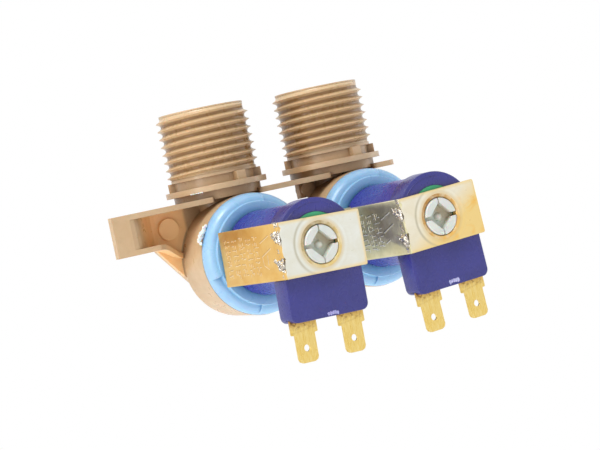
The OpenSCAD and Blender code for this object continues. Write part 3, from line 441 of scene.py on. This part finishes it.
# painted highlight: the light strokes are the coined strokes' lit edges
STAMP = {"a": stroke_steel("stroke_lit_cream", (0.86, 0.66, 0.36), (0.92, 0.76, 0.50)),
         "b": stroke_steel("stroke_lit_white", (0.84, 0.82, 0.66), (0.94, 0.93, 0.84))}
# painted shadow: the dark copies, shifted beside the strokes, are their shaded edges
STAMP_SHADOW = {"a": stroke_steel("stroke_shadow_brown", (0.50, 0.28, 0.10), (0.62, 0.38, 0.14)),
              "b": stroke_steel("stroke_shadow_dark", (0.10, 0.09, 0.05), (0.22, 0.19, 0.10))}
FLASH = flash_white("white_flash")
GATE = nylon("gate_nylon", (0.30, 0.28, 0.62), (0.55, 0.54, 0.80), (0.15, 0.12, 0.42), rough=0.5, grain=0.2,
             edge=0.0001)
PLATE = {"a": plate_steel("front_plate_a", (0.77, 0.76, 0.66), (0.82, 0.83, 0.77), 15.0, 0.6, -0.9),
         "b": plate_steel("front_plate_b", (0.81, 0.74, 0.56), (0.87, 0.83, 0.70), 0.8, 0.70, -1.25)}
STRAP = {"a": strap_steel("strap_gold", (0.76, 0.45, 0.125), (0.82, 0.55, 0.20), (0.64, 0.32, 0.07)),
         "b": strap_steel("strap_olive", (0.68, 0.62, 0.34), (0.86, 0.80, 0.50), (0.42, 0.36, 0.17))}


def wear(obj, mat):
    """Gives an object one material."""
    obj.data.materials.clear()
    obj.data.materials.append(mat)


# ------------------------------------------------------------------- pieces


def linked(name, data):
    obj = bpy.data.objects.new(name, data)
    bpy.context.scene.collection.objects.link(obj)
    return obj


def finish_piece(obj, name, mat):
    """Names a piece and gives it its material and the root body."""
    obj.name = name
    obj.data.name = name
    wear(obj, mat)
    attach(obj, "valve")


def smooth(mesh, angle=40.0):
    """Smooth shading, with edges over the angle in degrees kept sharp."""
    mesh.shade_smooth()
    mesh.set_sharp_from_angle(angle=math.radians(angle))


def keep_local(mesh, to_part, origin=(0.0, 0.0, 0.0)):
    """Stores each vertex's place in the piece's own millimetre frame, for the materials."""
    back = to_part.inverted()
    shift = Vector(origin)
    attr = mesh.attributes.new("loc", "FLOAT_VECTOR", "POINT")
    for vert, item in zip(mesh.vertices, attr.data):
        item.vector = back @ vert.co - shift


def bridge(bm, rows, around=False, closed=False):
    """Quads between neighbouring rows; around joins the last row to the first, closed each row's ends."""
    for first, second in zip(rows, rows[1:] + rows[:1] if around else rows[1:]):
        for j in range(len(first) - (not closed)):
            k = (j + 1) % len(first)
            bm.faces.new((first[j], second[j], second[k], first[k]))


def from_bmesh(bm, name, to_part, recalc=True):
    """An object in the part's frame from a mesh in a piece's own frame."""
    mesh = bpy.data.meshes.new(name)
    bm.transform(to_part)
    if recalc:
        bmesh.ops.recalc_face_normals(bm, faces=bm.faces[:])
    bm.to_mesh(mesh)
    bm.free()
    return linked(name, mesh)


def dressed(node, width, segments=2):
    """A copy of a CAD node with its sharp edges really rounded; it stands for the node."""
    bm = bmesh.new()
    bm.from_mesh(NODES[node].data)
    bmesh.ops.remove_doubles(bm, verts=bm.verts[:], dist=2e-6)
    bmesh.ops.dissolve_limit(bm, angle_limit=math.radians(0.3), verts=bm.verts[:], edges=bm.edges[:])
    sharp = [e for e in bm.edges if e.is_manifold and e.calc_face_angle(0.0) > math.radians(38.0)]
    bmesh.ops.bevel(bm, geom=sharp, offset=width * MM, offset_type="OFFSET", segments=segments,
                    profile=0.5, affect="EDGES", clamp_overlap=True)
    obj = from_bmesh(bm, node + "_dressed", Matrix.Identity(4))
    smooth(obj.data)
    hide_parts(node)
    return obj


def extruded(outlines, depth, bevel, u, to_part):
    """A plate with rounded edges and its middle at u.

    outlines are closed, in x and y; the first is the outside and the rest are holes.
    """
    curve = bpy.data.curves.new("outline", "CURVE")
    curve.dimensions = "2D"
    curve.fill_mode = "BOTH"
    curve.extrude = depth / 2 - bevel
    curve.bevel_depth = bevel
    curve.bevel_resolution = 2
    curve.offset = -bevel
    for outline in outlines:
        spline = curve.splines.new("POLY")
        spline.points.add(len(outline) - 1)
        for point, (x, y) in zip(spline.points, outline):
            point.co = (x, y, 0.0, 1.0)
        spline.use_cyclic_u = True
    temp = linked("outline", curve)
    graph = bpy.context.evaluated_depsgraph_get()
    mesh = bpy.data.meshes.new_from_object(temp.evaluated_get(graph))
    bpy.data.objects.remove(temp)
    bpy.data.curves.remove(curve)
    bm = bmesh.new()
    bm.from_mesh(mesh)
    bpy.data.meshes.remove(mesh)
    bmesh.ops.translate(bm, verts=bm.verts[:], vec=(0, 0, u))
    obj = from_bmesh(bm, "plate", to_part)
    smooth(obj.data)
    return obj


def circle(cx, cy, r, count):
    return [(cx + r * math.cos(2 * math.pi * i / count), cy + r * math.sin(2 * math.pi * i / count))
            for i in range(count)]


def threadless_body():
    """The moulding without its simplified thread bands, for which the helical threads stand in."""
    bm = bmesh.new()
    bm.from_mesh(NODES["valve_body"].data)
    gone = []
    for face in bm.faces:
        radii = [math.hypot(abs(v.co.x) / MM - INLET_X, v.co.y / MM) for v in face.verts]
        heights = [v.co.z / MM for v in face.verts]
        on_band = ROOT_R - 0.2 < min(radii) and max(radii) < CREST_R + 0.2
        in_band = min(heights) > THREAD_Z - 0.01 and max(heights) < LEAD_Z + 0.01
        if on_band and in_band and max(heights) - min(heights) > 0.02:
            gone.append(face)
    bmesh.ops.delete(bm, geom=gone, context="FACES")
    obj = from_bmesh(bm, "body", Matrix.Identity(4), recalc=False)
    smooth(obj.data, 30)
    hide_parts("valve_body")
    finish_piece(obj, "body", TAN)


def thread_fade(z):
    """How far the thread has come up out of its root at a height, 0 to 1."""
    return max(0.0, min(1.0, (z - THREAD_Z + 0.1) / 0.9, LEAD_Z - 0.35 - z))


def thread(side):
    """A helical thread from root to root, fading out at both ends."""
    bm = bmesh.new()
    count = int((LEAD_Z - THREAD_Z + PITCH) / PITCH * TURN_STEPS)
    # height along the axis as a share of the pitch, and rise as a share of the depth
    flank = [(0.5, 0.0), (0.42, 0.012), (0.34, 0.07), (0.26, 0.19), (0.18, 0.38), (0.10, 0.66), (0.045, 0.93)]
    profile = [(-dz, rise) for dz, rise in flank] + [(0.0, 1.0)] + flank[::-1]
    rings = []
    for i in range(count + 1):
        angle = 2 * math.pi * i / TURN_STEPS + THREAD_START
        z = THREAD_Z - PITCH / 2 + PITCH * i / TURN_STEPS
        fade = thread_fade(z)
        ring = []
        for dz, rise in profile:
            height = min(max(z + dz * PITCH, THREAD_Z), LEAD_Z)
            r = ROOT_R + (CREST_R - ROOT_R) * rise * math.sin(fade * math.pi / 2)
            ring.append(bm.verts.new((r * math.cos(angle), r * math.sin(angle), height)))
        rings.append(ring)
    bridge(bm, rings)
    bmesh.ops.remove_doubles(bm, verts=bm.verts[:], dist=0.002)
    bmesh.ops.dissolve_degenerate(bm, dist=0.001, edges=bm.edges[:])
    obj = from_bmesh(bm, "thread", inlet_matrix(side), recalc=False)
    smooth(obj.data, 70)
    keep_local(obj.data, inlet_matrix(side))
    for item in obj.data.attributes["loc"].data:
        # x becomes the distance from the nearest ridge, as a share of the pitch; it masks the painted shade
        # between ridges
        x, y, z = item.vector
        turns = (z - THREAD_Z) / PITCH + 0.5 - (math.atan2(y, x) - THREAD_START) / (2 * math.pi)
        item.vector = (thread_fade(z) * abs(turns - round(turns)), y, z)
    finish_piece(obj, "thread_" + side, THREAD)


def shard(rng, size, at, to_part):
    """A small crumpled flake."""
    bm = bmesh.new()
    bmesh.ops.create_icosphere(bm, subdivisions=2, radius=1.0)
    for vert in bm.verts:
        stretch = 1.0 + 0.35 * (rng.random() - 0.5)
        vert.co = Vector((vert.co.x * size[0], vert.co.y * size[1], vert.co.z * size[2])) * stretch + Vector(at)
    obj = from_bmesh(bm, "shard", to_part)
    smooth(obj.data, 25)
    return obj


def joined(objs):
    """One object in place of several."""
    bm = bmesh.new()
    for obj in objs:
        bm.from_mesh(obj.data)
    mesh = bpy.data.meshes.new("joined")
    bm.to_mesh(mesh)
    bm.free()
    for obj in objs:
        bpy.data.objects.remove(obj)
    smooth(mesh, 25)
    return linked("joined", mesh)


def side_point(u, y, out=0.0):
    """A place on the yoke's side plate, raised above its outer face."""
    lean = YOKE_SPLAY / (YOKE_FRONT - YOKE_BACK - BEND_R)
    return Vector((-YOKE_LEFT - lean * (YOKE_FRONT - u) - out, y, u))


def crumple(corners, height, seed, cols=26, rows=20):
    """A patch of torn, folded steel on the side plate, between four corners in u and y."""
    bm = bmesh.new()
    grid = []
    (ua, ya), (ub, yb), (uc, yc), (ud, yd) = corners
    for i in range(cols + 1):
        s, line = i / cols, []
        for j in range(rows + 1):
            t = j / rows
            u = (ua * (1 - s) + ub * s) * (1 - t) + (ud * (1 - s) + uc * s) * t
            y = (ya * (1 - s) + yb * s) * (1 - t) + (yd * (1 - s) + yc * s) * t
            at = Vector((u * 1.1, y * 1.3, seed))
            fold = 1.0 - abs(2.0 * noise.noise(at)) + 0.35 * noise.noise(at * 2.7)
            rim = min(1.0, 7 * t, 7 * (1 - t), 7 * s, 9 * (1 - s))
            sway = 0.75 * noise.noise_vector(at * 0.9) + 0.30 * noise.noise_vector(at * 2.4)
            free = min(1.0, max(0.0, (YOKE_FRONT - 0.2 - u) / 0.8))
            out = -0.06 + rim * height * max(0.15, fold)
            line.append(bm.verts.new(side_point(u + sway.x * free, y + sway.y * max(free, 0.4), out)))
        grid.append(line)
    bridge(bm, grid)
    return bm


def stakes(side):
    """Burrs where the plate's tongues were staked into the strap's edge."""
    seed = 0.0 if side == "a" else 9.7
    patches = [([(47.9, 4.9), (52.55, 5.9), (52.55, 1.2), (50.2, 2.9)], 0.55),
               ([(47.7, -2.2), (52.55, -1.9), (52.55, -6.2), (50.2, -4.9)], 0.55),
               ([(50.2, 7.7), (52.5, 7.8), (52.5, 6.4), (50.9, 6.6)], 0.30),
               ([(50.6, 0.9), (51.3, 0.9), (51.3, -1.7), (50.5, -1.6)], 0.18),
               ([(50.9, -6.4), (51.6, -6.3), (51.7, -7.7), (51.1, -7.8)], 0.18)]
    bm = bmesh.new()
    for number, (corners, height) in enumerate(patches):
        patch = crumple(corners, height, 3.1 * number + seed)
        mesh = bpy.data.meshes.new("patch")
        patch.to_mesh(mesh)
        patch.free()
        bm.from_mesh(mesh)
        bpy.data.meshes.remove(mesh)
    obj = from_bmesh(bm, "stakes", coil_matrix(side), recalc=False)
    smooth(obj.data, 28)
    keep_local(obj.data, coil_matrix(side))
    finish_piece(obj, "stakes_" + side, BURR)


def front_plate(side):
    """Plate with a hole; its left edge was smeared over the strap's end."""
    rng = random.Random(7 if side == "a" else 11)
    half = YOKE_H / 2
    edge = -YOKE_LEFT + 0.22
    outline = [(YOKE_RIGHT - 0.35, half), (YOKE_RIGHT, half - 0.35), (YOKE_RIGHT, -half + 0.35),
               (YOKE_RIGHT - 0.35, -half), (edge + 0.2, -half)]
    bites = ((-6.3, 0.0), (-5.6, 0.15), (-4.6, -0.1), (-3.2, 0.35), (-2.3, 0.6), (-1.6, 0.1),
             (-0.2, 0.0), (0.9, 0.15), (1.8, 0.05), (2.9, 0.3), (3.9, 0.1), (4.7, -0.15), (5.4, 0.3),
             (6.2, 0.65), (6.8, 0.2))
    for y, inward in bites:
        outline.append((edge + inward + 0.12 * rng.random(), y))
    outline.append((edge + 0.2, half))
    outline = outline[::-1]
    hole = circle(0, 0, HOLE_R, HOLE_STEPS)[::-1]
    obj = extruded([outline, hole], STEEL, 0.10, YOKE_FRONT - STEEL / 2, coil_matrix(side))
    keep_local(obj.data, coil_matrix(side))
    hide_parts("yoke_front_plate_" + side)
    finish_piece(obj, "front_plate_" + side, PLATE[side])


def hole_rim(side):
    """Rolled lip of the front plate's hole, turned from a profile in radius and u."""
    bm = bmesh.new()
    profile = [(5.33, 50.9), (5.36, 51.9), (5.50, 52.42), (5.68, 52.58), (5.90, 52.66), (6.15, 52.64),
               (6.38, 52.56), (6.62, 52.40)]
    rows = [[bm.verts.new((r * math.cos(a), r * math.sin(a), u)) for r, u in profile]
            for a in (2 * math.pi * i / HOLE_STEPS for i in range(HOLE_STEPS))]
    bridge(bm, rows[::-1], around=True)
    obj = from_bmesh(bm, "rim", coil_matrix(side), recalc=False)
    smooth(obj.data)
    keep_local(obj.data, coil_matrix(side))
    finish_piece(obj, "rim_" + side, RIM[side])


def strap(side):
    """Yoke strap, its cut end held just behind the smeared plate."""
    end = YOKE_FRONT - 0.08
    obj = dressed("yoke_strap_" + side, 0.18)
    keep_local(obj.data, coil_matrix(side))
    for vert, item in zip(obj.data.vertices, obj.data.attributes["loc"].data):
        if item.vector.z > end:
            vert.co = coil_matrix(side) @ Vector((item.vector.x, item.vector.y, end))
    finish_piece(obj, "strap_" + side, STRAP[side])


def stamp(side):
    """Worn coined strokes on the side plate: rows of broken ticks and a few longer lines, each drawn twice,
    light as painted highlight and, shifted, dark as painted shadow.
    """
    rng = random.Random(3 if side == "a" else 5)
    lines = [((42.6, 3.0), (47.2, 4.7)), ((42.6, -0.8), (47.5, 1.2))]
    if side == "a":
        lines += [((42.7, -0.9), (43.0, -3.2)), ((43.0, -3.2), (45.0, -4.3)), ((45.4, -0.6), (45.2, -3.1))]
    else:
        lines += [((42.5, -3.9), (44.5, -3.1))]
    for u in (24.4, 28.2, 31.9, 35.4, 38.9):
        y = 5.4 - 0.6 * rng.random()
        while y > -5.4:
            for part in range(3):
                lo, left = u + 0.85 * part + 0.2 * rng.random(), y - 0.5 * rng.random()
                if rng.random() < 0.5:
                    lines.append(((lo, left), (lo + 0.5 + 0.4 * rng.random(), left)))
                else:
                    lines.append(((lo, left), (lo, left - 0.4 - 0.4 * rng.random())))
            y -= 1.25 + 0.3 * rng.random()
    wide = 0.20 if side == "a" else 0.28
    # the first copy is painted highlight; the second, shifted copy is painted shadow
    for label, mat, shift, width in (("stamp_", STAMP[side], 0.0, wide),
                                     ("stamp_shadow_", STAMP_SHADOW[side], 0.2, 0.16)):
        bm = bmesh.new()
        for (u0, y0), (u1, y1) in lines:
            a, b = side_point(u0 - shift, y0 + shift), side_point(u1 - shift, y1 + shift)
            along = b - a
            across = along.cross(Vector((1, 0, 0))).normalized()
            spin = Matrix((Vector((1, 0, 0)), across, along.normalized())).transposed().to_4x4()
            spin.translation = (a + b) / 2
            size = Matrix.Diagonal((0.07 if shift else 0.12, width, along.length + width, 1.0))
            bmesh.ops.create_cube(bm, size=1.0, matrix=spin @ size)
        obj = from_bmesh(bm, label, coil_matrix(side))
        keep_local(obj.data, coil_matrix(side))
        finish_piece(obj, label + side, mat)


def blade(side, hand):
    """Blade terminal with rounded edges, a hole and shoulders."""
    wide, thin = 4.2, 3.175
    top, shoulder, tip = 6.0, -3.3, -11.2
    # y is counted from the case's lower face
    right = [(wide, top), (wide, shoulder + 0.25), (wide - 0.25, shoulder), (thin + 0.2, shoulder),
             (thin, shoulder - 0.2), (thin, tip + 1.3), (thin - 0.35, tip + 0.5), (thin - 1.2, tip + 0.05),
             (thin - 1.5, tip)]
    outline = [(-x, y) for x, y in right] + right[::-1]
    x0 = hand * BLADE_X
    outline = [(x + x0, y - SLAB_DROP) for x, y in outline]
    hole = circle(x0, shoulder - 3.9 - SLAB_DROP, 0.95, 32)[::-1]
    obj = extruded([outline, hole], BLADE_T, 0.13, BLADE_U, coil_matrix(side))
    keep_local(obj.data, coil_matrix(side), (x0, shoulder + 1.5 - SLAB_DROP, BLADE_U))
    name = ("left" if hand < 0 else "right") + "_" + side
    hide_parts("terminal_" + name)
    finish_piece(obj, "blade_" + name, BRASS)


def gate_mark(side):
    """Pale torn gate on the case's lower front edge."""
    rng = random.Random(21 if side == "a" else 22)
    bits = []
    start, low = (-0.7, -19.3) if side == "a" else (-1.3, -18.8)
    for k in range(5):
        size = (0.42, 0.42 + 0.25 * rng.random(), 0.10)
        at = (start + 0.72 * k, low + 0.3 * rng.random(), CASE_FRONT)
        bits.append(shard(rng, size, at, coil_matrix(side)))
    finish_piece(joined(bits), "gate_mark_" + side, GATE)


def ring_flash(side, start, stop, r, u):
    """Thin crumpled flash between the ring and the chamber's rim."""
    rng = random.Random(31)
    bits = []
    steps = 9
    for k in range(steps + 1):
        angle = math.radians(start + (stop - start) * k / steps)
        swell = 1.0 + 1.2 * math.sin(math.pi * k / steps)
        size = (0.42 * swell, 0.50, 0.35 + 0.3 * rng.random())
        reach = r + 0.3 + 0.7 * swell * rng.random()
        at = (reach * math.cos(angle), reach * math.sin(angle), u + 0.3 * rng.random())
        bits.append(shard(rng, size, at, coil_matrix(side, False)))
    finish_piece(joined(bits), "ring_flash_" + side, FLASH)


def flange_nick():
    """White burr torn up on the lower edge of inlet a's flange."""
    rng = random.Random(17)
    bits = []
    for k in range(7):
        angle = math.radians(212 + 2.2 * k)
        at = (FLANGE_R * math.cos(angle), FLANGE_R * math.sin(angle), 1.82 + 0.12 * rng.random())
        bits.append(shard(rng, (0.32, 0.32, 0.10 + 0.14 * rng.random()), at, inlet_matrix("a")))
    finish_piece(joined(bits), "flange_nick_a", FLASH)


def ring_swell(angle):
    """How far the ring's shoulder stands above its plain round, in mm, at an angle in degrees."""
    a = (angle - RAMP_START) % 180.0
    if a <= RAMP_SPAN:
        return 0.35 + 0.25 * max(0.0, 1 - a / 25) ** 2 + 0.40 * max(0.0, (a - 75) / 44) ** 2
    return -0.45 * max(0.0, 1 - (a - RAMP_SPAN) / 50) ** 2


def ring(side):
    """Retaining ring with two raised ramps, each with a step at its end."""
    angles = [RAMP_START + 2.5 * i for i in range(144)]
    turns = []
    for angle in angles:
        a = (angle - RAMP_START) % 180.0
        if a < 1.0:
            turns.append((angle, ring_swell(angle - 0.01)))
        turns.append((angle, ring_swell(angle)))
        if abs(a - RAMP_SPAN) < 1.0:
            turns.append((angle, ring_swell(angle + 1.6)))
    bm = bmesh.new()
    rows = []
    for angle, swell in turns:
        c, s = math.cos(math.radians(angle)), math.sin(math.radians(angle))
        profile = [(RING_WALL_R, RIM_FRONT), (RING_R, RIM_FRONT)]
        for k in range(13):
            lift, bend = math.sin(k * math.pi / 24), math.cos(k * math.pi / 24)
            front = RIM_FRONT + 0.6 + (RING_FRONT - 17.3) * lift + swell * lift ** 2
            profile.append((COLLAR_R + (RING_R - COLLAR_R) * bend, front))
        foot = profile[-1][1]
        profile[-1] = (COLLAR_R + 0.25, foot)
        profile += [(COLLAR_R + 0.08, foot + 0.06), (COLLAR_R, foot + 0.22)]
        profile += [(COLLAR_R - 0.04, RING_FRONT - 0.22), (COLLAR_R - 0.12, RING_FRONT - 0.06),
                    (COLLAR_R - 0.3, RING_FRONT), (RING_OPEN_R + 0.3, RING_FRONT),
                    (RING_OPEN_R + 0.08, RING_FRONT - 0.08), (RING_OPEN_R, RING_FRONT - 0.3),
                    (RING_OPEN_R, RING_FRONT - 2.4), (RING_WALL_R, RING_FRONT - 2.4)]
        rows.append([bm.verts.new((r * c, r * s, u)) for r, u in profile])
    bridge(bm, rows, around=True, closed=True)
    bmesh.ops.remove_doubles(bm, verts=bm.verts[:], dist=0.0005)
    obj = from_bmesh(bm, "ring", coil_matrix(side, False))
    smooth(obj.data, 30)
    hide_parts("retaining_ring_" + side)
    finish_piece(obj, "ring_" + side, BLUE)


def case_lip(side):
    """Thin raised line along the round top of the case's front."""
    bm = bmesh.new()
    rows = []
    for i in range(41):
        angle = math.radians(78 + 112 * i / 40)
        row = []
        for k in range(5):
            tilt = math.pi * k / 4
            r = CASE_R - 1.25 + 0.16 * math.cos(tilt)
            u = CASE_FRONT - 0.03 + 0.14 * math.sin(tilt)
            row.append(bm.verts.new((r * math.cos(angle), r * math.sin(angle), u)))
        rows.append(row)
    bridge(bm, rows)
    obj = from_bmesh(bm, "lip", coil_matrix(side))
    smooth(obj.data, 70)
    finish_piece(obj, "case_lip_" + side, PURPLE)


threadless_body()
for side in "ab":
    thread(side)
    front_plate(side)
    hole_rim(side)
    strap(side)
    stakes(side)
    stamp(side)
    for hand in (-1, 1):
        blade(side, hand)
    finish_piece(dressed("coil_case_" + side, 0.35, 3), "case_" + side, PURPLE)
    ring(side)
    case_lip(side)
    gate_mark(side)
ring_flash("a", 143, 160, 17.75, 15.9)
flange_nick()

# nodes shown as they come from the CAD, by their names without _a or _b
CARRIED = {"inlet_screen": WHITE, "flow_washer": RUBBER, "guide_tube": TUBE,
           "diaphragm": RUBBER, "diaphragm_insert": WHITE, "plunger": PLUNGER, "plunger_tip": RUBBER,
           "plunger_spring": SPRING, "coil_bobbin": GREEN, "coil_winding": COPPER, "flux_sleeve": SLEEVE}
for name, obj in NODES.items():
    if name[:-2] in CARRIED:
        wear(obj, CARRIED[name[:-2]])

# -------------------------------------------------------------------- stage


def floor_material():
    """Pale floor, plain white to the camera and in reflections."""
    s = Shader("pale_floor")
    at = s.add("TexCoord", out=3)
    tone = s.mix(s.noise(at, 6.0), (0.80, 0.80, 0.80), (0.84, 0.84, 0.84))
    diffuse = s.add("BsdfDiffuse", {"Color": tone})
    lit = s.add("Emission", {"Color": (1, 1, 1, 1), "Strength": 0.7})
    diffuse = s.add("AddShader", {0: diffuse, 1: lit})
    white = s.add("Emission", {"Color": (1, 1, 1, 1), "Strength": 1.0})
    path = s.tree.nodes.new("ShaderNodeLightPath")
    seen = s.math("MAXIMUM", path.outputs["Is Camera Ray"], path.outputs["Is Glossy Ray"])
    seen = s.math("MAXIMUM", seen, path.outputs["Is Transmission Ray"])
    both = s.add("MixShader", {0: seen, 1: diffuse, 2: white})
    s.tree.links.new(both, s.out.inputs["Surface"])
    return s.mat


FLOOR_Z = -0.11
HALF = 3.0
mesh = bpy.data.meshes.new("floor")
corners = ((-HALF, -HALF), (HALF, -HALF), (HALF, HALF), (-HALF, HALF))
mesh.from_pydata([(x, y, FLOOR_Z) for x, y in corners], [], [(0, 1, 2, 3)])
floor = linked("floor", mesh)
wear(floor, floor_material())

world = bpy.data.worlds.new("studio")
bpy.context.scene.world = world
world.use_nodes = True
tree = world.node_tree
tree.nodes.clear()
path = tree.nodes.new("ShaderNodeLightPath")
seen = tree.nodes.new("ShaderNodeMath")
seen.operation = "MAXIMUM"
tree.links.new(path.outputs["Is Camera Ray"], seen.inputs[0])
tree.links.new(path.outputs["Is Glossy Ray"], seen.inputs[1])
strength = tree.nodes.new("ShaderNodeMapRange")
strength.inputs["To Min"].default_value = 0.33
strength.inputs["To Max"].default_value = 1.0
tree.links.new(seen.outputs[0], strength.inputs["Value"])
sky = tree.nodes.new("ShaderNodeBackground")
sky.inputs["Color"].default_value = (1.0, 1.0, 1.0, 1.0)
tree.links.new(strength.outputs["Result"], sky.inputs["Strength"])
tree.links.new(sky.outputs[0], tree.nodes.new("ShaderNodeOutputWorld").inputs["Surface"])


def area_light(name, at, power, width, height):
    """A soft lamp aimed at the valve."""
    light = bpy.data.lights.new(name, "AREA")
    light.energy = power
    light.shape = "RECTANGLE"
    light.size = width
    light.size_y = height
    obj = linked(name, light)
    obj.location = at
    obj.rotation_euler = (Vector((0, -0.02, -0.01)) - Vector(at)).to_track_quat("-Z", "Y").to_euler()


area_light("key", (-0.30, -0.28, 0.76), 5.5, 0.35, 0.35)
area_light("strip", (-0.67, -0.20, 0.02), 1.7, 0.12, 0.80)
area_light("fill", (0.75, -0.06, 0.14), 0.7, 0.40, 0.40)

# ------------------------------------------------------------------- camera

# fitted to the photo: angles in degrees, distance and target in mm, focal length in pixels
AZ, EL, ROLL = (math.radians(v) for v in (-30.22, 1.3, -11.88))
DISTANCE = 573.27
TARGET = Vector((-6.55, -20.0, -13.13))
FOCAL_PX = 1982.9
PHOTO_PX = 600
SENSOR = 36.0
back = Vector((math.sin(AZ) * math.cos(EL), -math.cos(AZ) * math.cos(EL), math.sin(EL)))
level = (-back).cross(Vector((0, 0, 1))).normalized()
rise = level.cross(-back)
right = math.cos(ROLL) * level + math.sin(ROLL) * rise
up = -math.sin(ROLL) * level + math.cos(ROLL) * rise
camera = bpy.data.cameras.new("camera")
camera.sensor_width = SENSOR
camera.sensor_fit = "HORIZONTAL"
camera.lens = FOCAL_PX * SENSOR / PHOTO_PX
camera.clip_start = 0.01
camera.clip_end = 20.0
eye = linked("camera", camera)
pose = Matrix((right, up, back)).transposed().to_4x4()
pose.translation = (TARGET + back * DISTANCE) * MM
eye.matrix_world = pose
bpy.context.scene.camera = eye
bpy.context.scene.view_settings.view_transform = "Standard"
